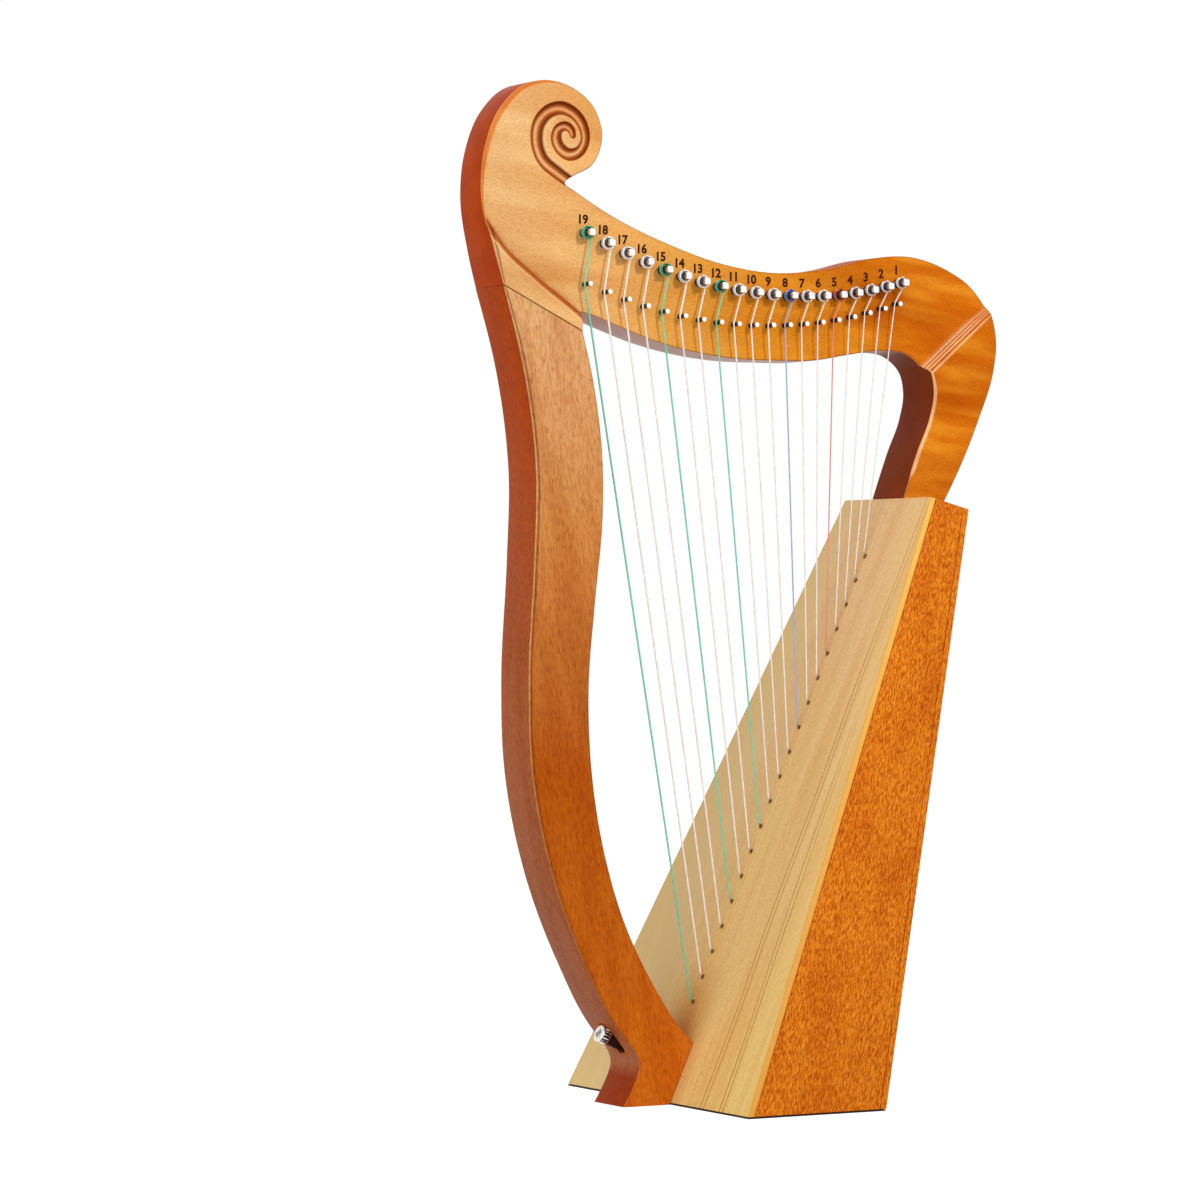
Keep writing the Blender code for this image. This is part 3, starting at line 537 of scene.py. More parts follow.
def spruce_wood():
    """Spruce: fine straight year lines across Y that wander a little up the board."""
    material, shader = finish_material("lacquered_spruce", SATIN)
    along = at_y(ALONG_BOARD)
    height, across = own_axis("Z"), own_axis("Y")
    from_middle = maths("ABSOLUTE", across)
    up = times(height, 1 / ALONG_BOARD.y)
    course = run_of(up, DARK_YEARS)
    year = times(minus(across, course), 1 / YEAR_WIDTH)
    lines = add("ShaderNodeTexNoise", {"W": year, "Scale": 1.0, "Detail": 2.0},
                noise_dimensions="1D").outputs["Fac"]
    color = tint(spread(lines, 0.42, 0.70, 0, 0.75), graded(height, SPRUCE), YEAR_SHADE)

    # Two pairs of darker years, which run out at different heights
    for line, reach in ((course, (0.5, 0.6)), (run_of(up, OTHER_YEARS), (0.20, 0.27))):
        for aside in (YEAR_PAIR / 2, -YEAR_PAIR / 2):
            off = maths("ABSOLUTE", minus(minus(across, line), aside))
            share = times(spread(off, 0.0008, 0.0003, 0, 0.7), spread(up, reach[1], reach[0]))
            color = tint(share, color, DARK_YEAR_SHADE)

    # Broad random tone and flecks, painted light that lifts a shadow on the far half, and a painted shadow at
    # the foot under the bass strings
    shade = blots(along, (0.18, 0.012, 0.012), 0.4)
    color = tint(spread(shade, 0.4, 0.7, 0, 0.5), color, (240, 218, 190), "MULTIPLY")
    fleck = blots(along, (0.0016, 0.0009, 0.0009), 0.7)
    color = tint(spread(fleck, 0.45, 0.65, 0, 0.4), color, (228, 204, 172), "MULTIPLY")
    color = tint(spread(across, 0.0, 0.05, 0, 0.75), color, (255, 222, 160))
    painted_foot_shadow = times(spread(height, 0.085, 0.045), spread(from_middle, 0.032, 0.004, 0, 0.8))
    color = tint(painted_foot_shadow, color, (214, 176, 132), "MULTIPLY")

    # Warmer towards the long edges, and a yellow line along them, partly the board's own side edge and partly
    # a painted highlight on its rounding
    taper = times(height, (TOP_WIDTH - BASE_WIDTH) / 2 / BOX_HEIGHT)
    from_edge = minus(plus(taper, BASE_WIDTH / 2), from_middle)
    color = tint(spread(from_edge, 0.030, 0.002, 0, 0.35), color, (246, 206, 120))
    color = tint(spread(from_edge, 0.0016, 0.0006, 0, 0.85), color, graded(height, BOARD_EDGE_AND_HIGHLIGHT))
    feed(shader, {"Base Color": color})
    emboss(shader, lines, 0.02 * MM)
    return material


add_piece("soundboard_eased", board_body, spruce_wood(), "frame", ["soundboard"])


# Pillar
# A board sawn to a curve that leans forward and ends in a toe. Its face is honey-coloured, partly
# as a painted sheen towards the top, and its sawn edges take the stain darker, with a painted
# pinkish reflection of the floor low down. It is dowelled to the neck and bolted at its foot.

HEAD_REACH = 0.0662
HEAD_DROP = 0.0325
FRAME_THICKNESS = 0.037
FACE_NEAR = -FRAME_THICKNESS / 2
FACE_FAR = FRAME_THICKNESS / 2
PILLAR_SEAT = 0.0395
THIN_RIM = 0.0008
RIM_STEPS = 5
FILL = 0.003
FILL_ROW = 0.87 * FILL
BATCH = 1500
GLUE_LINES = (0.4 * MM, 0.8 * MM)
GLUE_DARK = (0.0002, 0.0007)
GLUE_REACH = 0.0009
SIDE_TURN = 0.02
HEAD = FOOT + Vector((-HEAD_REACH, cad_box[1].z - HEAD_DROP))
DOWEL_RADIUS = 0.004
DOWEL_LENGTH = 0.034
DOWEL_SHARES = (0.45, 0.74)
BOLT_HEAD_RADIUS = 0.0055
BOLT_PLAY = 0.0008
COUNTERBORE_FLOOR = 0.0320
COUNTERBORE_REACH = 0.026

# The near rounded rim's width, by the length from 8 mm before the line's start, both in millimetres
THIN_EDGE = ((0, 0.8), (1000, 0.8))
PILLAR_EDGE = ((0, 0.8), (50, 1.2), (110, 2.2), (480, 2.2), (535, 1.2), (1000, 1.2))


def knots(corner, *offsets):
    """Points in the XZ plane, by their offsets from a corner in millimetres."""
    return [corner + Vector((x * MM, z * MM)) for x, z in offsets]


def by_table(table, at):
    """What a table of (millimetres, value) pairs gives for each length."""
    return np.interp(np.asarray(at) / MM, *zip(*table))


def smooth_run(knots, steps=14):
    """A smooth curve through the knots, with `steps` chords between each two."""
    points = [Vector(knot) for knot in knots]
    spans = [(after - before).length for before, after in zip(points, points[1:])]
    chords = [(after - before) / span for before, after, span in zip(points, points[1:], spans)]
    slopes = [None] * len(points)
    for i in range(1, len(points) - 1):
        slopes[i] = (chords[i - 1] * spans[i] + chords[i] * spans[i - 1]) / (spans[i - 1] + spans[i])
    slopes[0] = chords[0] * 1.5 - slopes[1] * 0.5
    slopes[-1] = chords[-1] * 1.5 - slopes[-2] * 0.5
    curve = []
    for i, span in enumerate(spans):
        for step in range(steps):
            t = step / steps
            curve.append(points[i] * (2 * t**3 - 3 * t**2 + 1)
                         + slopes[i] * span * (t**3 - 2 * t**2 + t)
                         + points[i + 1] * (3 * t**2 - 2 * t**3)
                         + slopes[i + 1] * span * (t**3 - t**2))
    curve.append(points[-1])
    return curve


JOINT_ENDS = knots(HEAD, (-45.8, -90.7), (7, -116.5))
ALONG_JOINT = (JOINT_ENDS[1] - JOINT_ENDS[0]).normalized()
OFF_JOINT = Vector((-ALONG_JOINT.y, ALONG_JOINT.x))


def joint_line(offset):
    """The glue joint between pillar and neck, from its outer to its inner end, moved square to itself."""
    return [end + OFF_JOINT * offset for end in JOINT_ENDS]


def run_on(line, by=0.008):
    """A line with both its ends run on straight."""
    first, last = (line[0] - line[1]).normalized(), (line[-1] - line[-2]).normalized()
    return [line[0] + first * by, *line, line[-1] + last * by]


def lengths_along(line):
    """How far along a line each of its points is."""
    spans = [(after - before).length for before, after in zip(line, line[1:])]
    return np.concatenate(([0], np.cumsum(spans)))


def moved_aside(line, by):
    """A line moved square to itself, to the right of its direction, by one number or one for each point."""
    offsets = np.broadcast_to(by, len(line))
    moved = []
    for i, point in enumerate(line):
        run = (line[min(i + 1, len(line) - 1)] - line[max(i - 1, 0)]).normalized()
        moved.append(point + Vector((run.y, -run.x)) * float(offsets[i]))
    return moved


def nearest(spots, line):
    """Each spot's distance to a line, the length along it, its side (1 is left) and its offset from it."""
    ends = np.array([tuple(p) for p in line])
    run = np.diff(ends, axis=0)
    length = np.hypot(run[:, 0], run[:, 1])
    before = np.concatenate(([0], np.cumsum(length)[:-1]))
    found = []
    for some in np.array_split(spots, len(spots) // BATCH + 1):
        away = some[:, None] - ends[:-1]
        share = np.clip((away * run).sum(2) / length**2, 0, 1)
        off = away - share[..., None] * run
        gap = np.hypot(off[..., 0], off[..., 1])
        best = gap.argmin(1)
        rows = np.arange(len(some))
        side = run[best, 0] * away[rows, best, 1] - run[best, 1] * away[rows, best, 0]
        found.append(np.stack([gap[rows, best], before[best] + share[rows, best] * length[best],
                               np.sign(side), *off[rows, best].T]))
    gap, along, side, *off = np.concatenate(found, axis=1)
    return gap, along, side, np.array(off)


def inside(spots, outline):
    """Which spots lie inside a closed outline."""
    ends = np.array([tuple(p) for p in outline])
    after = np.roll(ends, -1, axis=0)
    found = []
    for some in np.array_split(spots, len(spots) // BATCH + 1):
        x, z = some[:, 0:1], some[:, 1:2]
        spans = (ends[:, 1] > z) != (after[:, 1] > z)
        with np.errstate(divide="ignore", invalid="ignore"):
            meets = ends[:, 0] + (z - ends[:, 1]) * (after[:, 0] - ends[:, 0]) / (after[:, 1] - ends[:, 1])
        found.append((spans & (x < meets)).sum(1) % 2 == 1)
    return np.concatenate(found)


def rounding(spots, rims, thin=False):
    """How far the rounded rims drop at each spot, and how far they have turned from side (0) to face (1)."""
    drop, turn = np.zeros(len(spots)), np.ones(len(spots))
    for line, widths in rims:
        gap, along, *_ = nearest(spots, line)
        width = THIN_RIM if thin else by_table(widths, along) * MM
        inward = np.clip(1 - gap / width, 0, 1)
        drop = np.maximum(drop, width * (1 - np.sqrt(1 - inward**2)))
        turn = np.minimum(turn, np.arccos(inward) / (math.pi / 2))
    return drop, turn


def laid_out(outline, rims, lines):
    """The flat triangles of a board inside its outline, which follow its rims and lines."""
    points, edges = [], []

    def draw(line, closed=False):
        start = len(points)
        points.extend(line)
        edges.extend((start + i, start + i + 1) for i in range(len(line) - 1))
        if closed:
            edges.append((start + len(line) - 1, start))

    draw(outline, closed=True)
    for line in lines:
        draw(line)
    for line, widths in rims:
        width = by_table(widths, lengths_along(line)) * MM
        for step in range(1, RIM_STEPS + 2):
            across = 1 - math.cos(math.pi / 2 * step / RIM_STEPS) if step <= RIM_STEPS else 1.5
            draw(moved_aside(line, width * across))
    xs, zs = [p.x for p in outline], [p.y for p in outline]
    for row in range(int((max(zs) - min(zs)) / (FILL_ROW))):
        start = min(xs) + (row % 2) * FILL / 2
        count = int((max(xs) - start) / FILL)
        points.extend(Vector((start + i * FILL, min(zs) + row * FILL_ROW)) for i in range(count))
    spots, _, triangles, *_ = delaunay_2d_cdt(points, edges, [], 0, 1e-7)
    spots, triangles = np.array([tuple(p) for p in spots]), np.array(triangles)
    triangles = triangles[inside(spots[triangles].mean(1), outline)]
    used = np.unique(triangles)
    spots, triangles = spots[used], np.searchsorted(used, triangles)
    first, second, third = spots[triangles].transpose(1, 0, 2)
    turns = np.cross(second - first, third - first)
    triangles[turns < 0] = triangles[turns < 0][:, ::-1]
    return spots, triangles


def sawn_board(outline, rims, lines=(), shape=None, marks=None):
    """A board sawn to an outline, with its rims rounded over and its near face lowered by `shape`.

    `rims` are pairs of a sawn edge, run on past the joints with the board on its right, and
    its widths. `marks` gives more attributes for the near face: a name and a value for each spot."""
    spots, triangles = laid_out(outline, rims, lines)
    drop, near_turn = rounding(spots, rims)
    near = FACE_NEAR + drop + (shape(spots) if shape else 0)
    drop, far_turn = rounding(spots, rims, thin=True)
    far = FACE_FAR - drop
    values = {"side": (near_turn < SIDE_TURN, far_turn < SIDE_TURN)}
    for name, value in (marks(spots, near_turn) if marks else {}).items():
        values[name] = (value, value if name == "under" else np.zeros(len(spots)))
    body = bmesh.new()
    layers = {name: body.verts.layers.float.new(name) for name in values}
    sheets = []
    for sheet, level in enumerate((near, far)):
        verts = [body.verts.new((x, y, z)) for (x, z), y in zip(spots, level)]
        for name, pair in values.items():
            for vertex, value in zip(verts, pair[sheet]):
                vertex[layers[name]] = float(value)
        sheets.append(verts)
    near_verts, far_verts = sheets
    borders = {}
    for a, b, c in triangles.tolist():
        body.faces.new((near_verts[a], near_verts[b], near_verts[c]))
        body.faces.new((far_verts[a], far_verts[c], far_verts[b]))
        for pair in ((a, b), (b, c), (c, a)):
            if pair[::-1] in borders:
                del borders[pair[::-1]]
            else:
                borders[pair] = True
    for a, b in borders:
        body.faces.new((near_verts[b], near_verts[a], far_verts[a], far_verts[b]))
    return body


def dowel_holes(starts, direction):
    reach, hole = DOWEL_LENGTH / 2 + MM, DOWEL_RADIUS + GAP
    return [placed(turned(((-reach, hole), (reach, hole)), 24), lay_along(start, direction, y))
            for start, y in starts]


def rim_marks(spots, turn):
    """A rounded rim's painted highlight (up to 1) by its side and dark line (down to -1) by its face.

    A dark line of glue shows along the joint, and the rim's lines fade out towards the toe."""
    line = np.interp(turn, (0, 0.1, 0.35, 0.48, 0.62, 0.8, 0.97), (0, 0.9, 0.7, -0.3, -0.75, -0.5, 0))
    line = line * np.interp(spots[:, 1], (0.08, 0.30), (0.25, 1))
    joint_gap = nearest(spots, joint_line(0))[0]
    glue = np.interp(joint_gap, GLUE_DARK, (-0.7, 0))
    return {"line": np.where(joint_gap < GLUE_REACH, glue, line)}


joint_outer, joint_inner = joint_line(-GAP / 2)
pillar_front = smooth_run([*knots(FOOT, (-31.6, 0), (-25.8, 9.7), (-22.2, 17.1), (-20.4, 23.8), (-22.2, 30.2),
    (-28.5, 38.3), (-35.3, 46.7), (-56.8, 84.7), (-78.1, 135.6), (-92.7, 199.9), (-94.9, 255.3)),
    *knots(HEAD, (-25, -252.4), (-23.8, -199.7), (-31.9, -140.6)), joint_outer])
pillar_back = smooth_run([joint_inner, *knots(HEAD, (13.8, -144.3), (20.2, -189.4), (20.4, -228.2)),
    *knots(FOOT, (-50.6, 303.2), (-55.2, 248.6), (-53.4, 202.9), (-44.8, 152.7), (-30.3, 108.5),
    (-9.2, 69), (8.5, 44)), on_board(PILLAR_SEAT, GAP)])
pillar_heel = crossing(on_board(0, GAP), ALONG_BOARD, FOOT, Vector((1, 0)))
pillar_body = sawn_board(pillar_front + pillar_back + [pillar_heel],
                         [(run_on(pillar_front), PILLAR_EDGE), (run_on(pillar_back), THIN_EDGE)],
                         [joint_line(-by) for by in GLUE_LINES], marks=rim_marks)
bolt_axis = lay_along(on_board(BOLT_HEIGHT, 0), OFF_BOARD)
clearance, counterbore = BOLT_RADIUS + BOLT_PLAY, BOLT_HEAD_RADIUS + 2 * GAP
bolt_tool = placed(turned(((-2 * MM, clearance), (COUNTERBORE_FLOOR, clearance),
                           (COUNTERBORE_FLOOR, counterbore),
                           (COUNTERBORE_FLOOR + COUNTERBORE_REACH, counterbore)), 48), bolt_axis)
pillar_dowels = [(JOINT_ENDS[0].lerp(JOINT_ENDS[1], share), 0.0) for share in DOWEL_SHARES]
pillar_body = cut(pillar_body, [bolt_tool] + dowel_holes(pillar_dowels, OFF_JOINT))

# The face's honey towards the top is partly a painted sheen, and the edges' pinkish browns low down are a
# painted reflection of the floor.
PILLAR_FACE_AND_SHEEN = ((0.50, (227, 180, 128)), (0.34, (209, 138, 72)), (0.20, (180, 88, 16)), (0.03, (208, 112, 26)))
PILLAR_EDGE_STAIN_AND_FLOOR_SHEEN = ((0.42, (196, 78, 4)), (0.20, (188, 108, 62)), (0.05, (186, 110, 72)),
                     (0.026, (200, 124, 84)), (0.016, (172, 66, 4)))
PAINTED_EDGE_HIGHLIGHT = (248, 202, 152)
EDGE_DARK = (112, 44, 10)
PILLAR_PORES = [
    ((228, 200, 168), 0.09, 0.012, 0.42, 0.66, 0.5, 0.0),
    ((232, 206, 172), 0.016, 0.0012, 0.46, 0.66, 0.4, 0.0),
    ((222, 190, 154), 0.0050, 0.0010, 0.44, 0.62, 0.45, 0.5),
    ((186, 136, 86), 0.0050, 0.0005, 0.54, 0.66, 0.6, 1.0),
]


def attribute(name):
    return add("ShaderNodeAttribute", attribute_name=name).outputs["Fac"]


def lined(face):
    """A face's colour under the painted highlights and the dark lines of its rims."""
    line = attribute("line")
    face = tint(spread(line, 0, 1), face, PAINTED_EDGE_HIGHLIGHT)
    return tint(spread(line, 0, -1), face, EDGE_DARK)


def pillar_color():
    """Honey at the top, partly a painted sheen, to amber at the toe, with darker stain on the sawn edges that
    turns pinkish low down as a painted reflection of the floor.
    """
    height = own_axis("Z")
    face, edge = graded(height, PILLAR_FACE_AND_SHEEN), graded(height, PILLAR_EDGE_STAIN_AND_FLOOR_SHEEN)
    return tint(attribute("side"), lined(face), edge)


pillar_wood = wood("stained_pillar", (-0.139, 0.0, 0.990), pillar_color, PILLAR_PORES, SATIN)
add_piece("pillar_sawn", pillar_body, pillar_wood, "frame", ["pillar"])


# Neck
# Head, neck and shoulder are sawn from one board. Its near face is cut back between a step
# beside the pillar and a beaded ramp on the shoulder, and a gouge has cut a spiral groove
# in the scroll. The stain is honey at the head and deepens to orange at the shoulder, and
# the honey is partly a painted sheen.

NECK_RECESS = 0.009
NECK_FACE = FACE_NEAR + NECK_RECESS
STEP_LIP = 0.0064
PIN_RADIUS = 0.0025
PIN_DEPTH = 0.020
PIN_CROWDING = 0.11
LIP_FADE = 0.0035
LIP_SPREAD = 0.006
LIP_REACH = 0.03
RAMP_LOSS = 0.55
RAMP_RIM_FADE = 0.012
RAMP_FOOT_FADE = 0.018
BAND_SIDE, BAND_SIDE_FADE = 0.004, 0.012
BAND_FOOT, BAND_FOOT_FADE = 0.058, 0.006
BORE_SLOPE = 0.02 * MM
SHOULDER_DOWEL_ASIDE = 0.0095
BRIDGE_PIN_RADIUS = 0.0014
BRIDGE_PIN_ROOT = 0.004

# The near rims' widths as for the pillar, up the shoulder's inside and from the joint round the head
SHOULDER_EDGE = ((0, 0.8), (20, 0.8), (26, 2.2), (80, 1.8), (94, 0.8), (1000, 0.8))
HEAD_EDGE = ((0, 1.2), (14, 1.4), (30, 2.6), (40, 2.4), (46, 1), (60, 1.4), (90, 2.6), (118, 3.3),
    (140, 3), (158, 1.8), (172, 0.8), (1000, 0.8))

# Across the step and the ramp, in millimetres, and across the groove, in its half widths: where, and how deep
STEP_SHAPE = ((-4.6, 0), (-4, 0), (-3.4, 0), (-3, 0), (-2.2, 0.04), (-1.4, 0.2), (-0.75, 0.6), (-0.25, 1.2),
    (0.1, 2.2), (0.8, 5.8), (1.1, 7.4), (1.5, 8.4), (2.1, 8.85), (2.9, 9))
RAMP_SHAPE = ((-1.2, 9), (-0.4, 8.8), (0.1, 8), (0.3, 7), (0.6, 6.6), (1, 6.5), (1.2, 6.8), (1.5, 5),
    (1.8, 4.2), (2.2, 4.1), (2.4, 4.4), (2.7, 2.6), (3, 1.9), (3.4, 1.8), (3.7, 2.2), (4, 1),
    (4.4, 0.3), (4.8, 0), (5.4, 0), (6.4, 0))
GROOVE_SHAPE = ((0, 1), (0.12, 0.985), (0.35, 0.92), (0.65, 0.68), (0.85, 0.38), (1, 0.14), (1.15, 0.03),
    (1.3, 0))
GROOVE_DEPTH = 0.68


def along_neck(*points):
    """Points by their share of the way from scroll to soundbox, and their rise over it in millimetres."""
    return [HEAD.lerp(SEAT, share) + Vector((0, rise * MM)) for share, rise in points]


def pin_row(row_knots):
    """The strings' places in a row of pins. The bass pins stand a little wider apart."""
    row = smooth_run(row_knots, 12)
    places = []
    for number in STRINGS:
        share = number / STRINGS[-1]
        share += PIN_CROWDING * share * (1 - share)
        x = row[0].x + (row[-1].x - row[0].x) * share
        before, after = next(pair for pair in zip(row, row[1:]) if pair[1].x >= x or pair[1] is row[-1])
        places.append(before.lerp(after, (x - before.x) / (after.x - before.x)))
    return places


def circle(middle, radius, sides=24):
    angles = [2 * math.pi * i / sides for i in range(sides + 1)]
    return [middle + Vector((math.cos(a), math.sin(a))) * radius for a in angles]


joint_outer, joint_inner = joint_line(GAP / 2)
scroll = smooth_run([joint_outer, *knots(HEAD, (-51.3, -68.6), (-56.2, -37.4), (-53.3, -10.1), (-42.6, 14.7),
    (-27.2, 28.9), (-10, HEAD_DROP / MM), (6.2, 28.2), (18.9, 18.5), (25.2, 0.8), (18.5, -16.5), (4.2, -24.7),
    (0.9, -27.5))])
neck_top = smooth_run([*knots(HEAD, (1.2, -29.5)), *along_neck((0.13, -18), (0.307, 3.3), (0.465, 26.6),
    (0.626, 56.6), (0.797, 97.2), (0.933, 133.5)), *knots(SEAT, (11, 149.3), (37.3, 142.1), (54.3, 131.6),
    (64.5, 115.9), (68.5, 99.5), (66.2, 78.1), (55.9, 50.2), (42.3, 20.6)), on_top(TOP_DEPTH, GAP)])
neck_under = smooth_run([on_top(GAP, GAP), *knots(SEAT, (10.9, 28.5), (20.2, 50.8), (22.9, 66.3),
    (19.6, 79.4), (8.3, 88.6)), *along_neck((0.951, 80.3), (0.851, 55.9), (0.741, 28.3), (0.63, 4.1),
    (0.51, -21.1), (0.384, -44.7), (0.253, -66), (0.143, -81), (0.061, -92.3)), *knots(HEAD, (6.9, -104.5))])
head_rim, under_rim = run_on(scroll + neck_top), run_on(neck_under + [joint_inner])

step_line = smooth_run([*knots(HEAD, (-62, -47), (-52.3, -56.5), (-43.8, -68), (-25.3, -83.2), (5.7, -105),
    (16, -113))])
ramp_line = smooth_run([*knots(SEAT, (6, 71.7), (12, 76.8), (18.3, 82.2), (62.3, 119.5), (73, 128.6))])
groove_run = smooth_run([HEAD.to_3d() + Vector([part * MM for part in knot]) for knot in (
    (3.5, -27.5, 3.6), (-4.5, -22.8, 3.8), (-15.5, -14.3, 3.9), (-19.1, -4, 4), (-17.4, 6.7, 4.1),
    (-11.4, 13.4, 4), (-2.5, 16.1, 3.9), (5.9, 13.2, 3.6), (11.7, 6.7, 3.3), (13.2, -2.7, 3),
    (9.4, -9, 3.2), (2.5, -11, 3.7), (-3.1, -8, 3.7), (-6, -1.5, 3.6), (-4.2, 3.8, 3), (0.9, 5.4, 2.7),
    (4.2, 3, 2.4), (4.9, 0.4, 2))], 8)
groove_line, groove_half = [p.to_2d() for p in groove_run], [p.z for p in groove_run]
pin_places = pin_row([
    *along_neck((0.053, -46.2), (0.276, -18.6), (0.448, 8.9), (0.617, 41), (0.807, 82.6)),
    *knots(SEAT, (0.9, 132.6))])
bridge_places = pin_row([
    *along_neck((0.054, -76.4), (0.273, -44.4), (0.449, -12.7), (0.609, 20.7), (0.801, 66)),
    *knots(SEAT, (-1.8, 119.5))])
bores = ((pin_places, PIN_RADIUS + GAP, PIN_DEPTH + GAP),
         (bridge_places, BRIDGE_PIN_RADIUS + 0.1 * MM, BRIDGE_PIN_ROOT))


def neck_lines():
    """The lines along which the near face of the neck bends."""
    lines = [moved_aside(step_line, -at * MM) for at, _ in STEP_SHAPE]
    lines += [moved_aside(ramp_line, at * MM) for at, _ in RAMP_SHAPE]
    lines += [joint_line(by) for by in GLUE_LINES]
    for at, _ in GROOVE_SHAPE:
        for side in (-1, 1) if at else (1,):
            lines.append(moved_aside(groove_line, side * at * np.array(groove_half)))
        if at:
            lines.append(circle(groove_line[-1], at * groove_half[-1]))
    for places, radius, _ in bores:
        for place in places:
            lines += [circle(place, radius), circle(place, radius - BORE_SLOPE)]
    return lines


def beside(spots, line):
    """How far each spot lies to the left of a line."""
    gap, _, side, _ = nearest(spots, line)
    return gap * side


def groove_across(spots):
    """Each spot's place across the groove (1 is its outer edge), the half width and the way out there."""
    gap, along, side, off = nearest(spots, groove_line)
    half = np.interp(along, lengths_along(groove_line), groove_half)
    return gap / half * side, half, off / np.maximum(gap, 1e-9)


def neck_shape(spots):
    """How far the near face lies under the frame's face at each spot."""
    rim_gap = nearest(spots, head_rim)[0]
    at = beside(spots, step_line)
    past_step = by_table(STEP_SHAPE, at) * MM
    lip = np.where(at < 0, STEP_LIP * np.exp(at / LIP_FADE),
                   NECK_RECESS + (STEP_LIP - NECK_RECESS) * np.exp(-at / LIP_SPREAD))
    share = np.exp(-rim_gap / LIP_FADE) * (spots[:, 0] < HEAD.x - LIP_REACH)
    past_step += (lip - past_step) * share
    at = -beside(spots, ramp_line)
    before_ramp = by_table(RAMP_SHAPE, at) * MM
    before_ramp *= 1 - (RAMP_LOSS * np.exp(-rim_gap / RAMP_RIM_FADE)
                        * np.exp(-np.maximum(-at, 0) / RAMP_FOOT_FADE))
    depth = np.minimum(past_step, before_ramp)
    across, half, _ = groove_across(spots)
    depth += np.interp(np.abs(across), *zip(*GROOVE_SHAPE)) * half * GROOVE_DEPTH
    for places, radius, deep in bores:
        for place in places:
            gap = np.hypot(spots[:, 0] - place.x, spots[:, 1] - place.y)
            depth[gap < radius - BORE_SLOPE / 2] = NECK_RECESS + deep
    return depth


def neck_marks(spots, turn):
    """Where the near face has painted highlights and dark lines, the bright band round the head, and held
    stain with painted shade.
    """
    rim_gap, under_gap = nearest(spots, head_rim)[0], nearest(spots, under_rim)[0]
    at_step, at_ramp = beside(spots, step_line), -beside(spots, ramp_line)
    across, _, off = groove_across(spots)

    # The head's left rim has a broad bright band, and the shoulder's inner rim a painted highlight
    line = rim_marks(spots, turn)["line"]
    left = (np.clip((HEAD.x + BAND_SIDE - spots[:, 0]) / BAND_SIDE_FADE, 0, 1)
            * np.clip((spots[:, 1] - HEAD.y + BAND_FOOT) / BAND_FOOT_FADE, 0, 1))
    band = left * np.interp(turn, (0.05, 0.15, 0.9, 1), (0, 1, 1, 0))
    line = line * (1 - left) + left * np.interp(turn, (0, 0.08, 0.2, 0.3, 0.85, 0.95, 1),
                                                (0, 0.9, 0.5, 0, 0, 0.35, 0))
    under = under_gap < rim_gap
    shoulder = under * by_table(((18, 0), (26, 1), (90, 1), (96, 0)), nearest(spots, under_rim)[1])
    line = line * (1 - shoulder) + shoulder * np.interp(turn, (0, 0.08, 0.8, 1), (0, 1, 0.7, 0))

    # A painted highlight tops the step, painted highlights run along the ramp's beads, and the groove's rim
    # has a painted highlight
    step = by_table(((-4.6, 0), (-4, 0.7), (-3.4, 0.4), (-3, 0)), at_step)
    ramp = by_table(((-0.6, 0), (0.3, 0.5), (0.6, 1), (1.1, 1), (1.3, 0), (1.5, 0.2), (1.8, 0.9), (2.3, 1),
                     (2.5, 0), (2.8, 0.3), (3, 1), (3.6, 1), (3.8, 0), (4.1, -0.4), (4.4, 0), (4.8, 0.9),
                     (5.4, 0.7), (6.4, 0)), at_ramp) * (1 - 0.6 * np.exp(-rim_gap / 0.010))
    groove = np.interp(across, (-1.45, -1.2, -1.0, -0.9, -0.2, -0.08, 0.08, 0.2),
                       (0, 0.45, 0.35, 0, 0, 0.6, 0.6, 0))
    for value in (step, ramp, groove):
        line = np.where(np.abs(value) > np.abs(line), value, line)

    # Stain gathers in the groove, with painted shade on its walls away from the light, and painted shade
    # darkens the step's slope
    lit = np.clip(-0.85 * off[0] - 0.53 * off[1], 0, 1)
    stain = np.interp(np.abs(across), (0, 0.15, 0.45, 0.8, 1.0, 1.15), (0.22, 0.26, 0.6, 1, 0.8, 0))
    stain = np.maximum(stain * (1 - 0.2 * lit),
                       by_table(((-3.4, 0), (-3, 0.4), (-1.4, 0.62), (2.1, 0.66), (3.4, 0)), at_step))
    return {"line": line, "band": band, "stain": stain, "under": under}


neck_body = sawn_board(scroll + neck_top + neck_under + [joint_inner],
                       [(head_rim, HEAD_EDGE), (under_rim, SHOULDER_EDGE)],
                       neck_lines(), neck_shape, neck_marks)
shoulder_middle = on_top(TOP_DEPTH / 2, GAP / 2)
shoulder_starts = [(shoulder_middle, side * SHOULDER_DOWEL_ASIDE) for side in (-1, 1)]
neck_body = cut(neck_body, dowel_holes(pillar_dowels, OFF_JOINT) + dowel_holes(shoulder_starts, ALONG_BACK))

NECK_GRAIN = (0.990, 0.0, -0.139)
# The honey towards the head is partly a painted sheen.
NECK_FACES_AND_SHEEN = ((-0.15, (235, 190, 130)), (-0.09, (234, 178, 108)), (-0.03, (227, 158, 66)),
              (0.03, (224, 144, 36)), (0.10, (212, 120, 18)), (0.15, (214, 114, 12)))
HELD_STAIN_AND_SHADE = (190, 104, 42)
GROOVE_STAIN_AND_SHADE = (94, 30, 0)
BAND_ORANGE = (224, 134, 58)
HEAD_EDGE_STAIN = (196, 72, 0)
SHOULDER_BROWN = (132, 52, 12)
UNDERSIDE_FLOOR_REFLECTION = (222, 194, 192)
WARM_FLAME = (240, 156, 40)
NECK_PORES = [
    ((230, 198, 164), 0.12, 0.020, 0.42, 0.62, 0.5, 0.0),
    ((214, 180, 140), 0.0013, 0.0008, 0.46, 0.60, 0.28, 0.3),
    ((190, 140, 96), 0.0040, 0.0004, 0.58, 0.70, 0.3, 0.8),
]


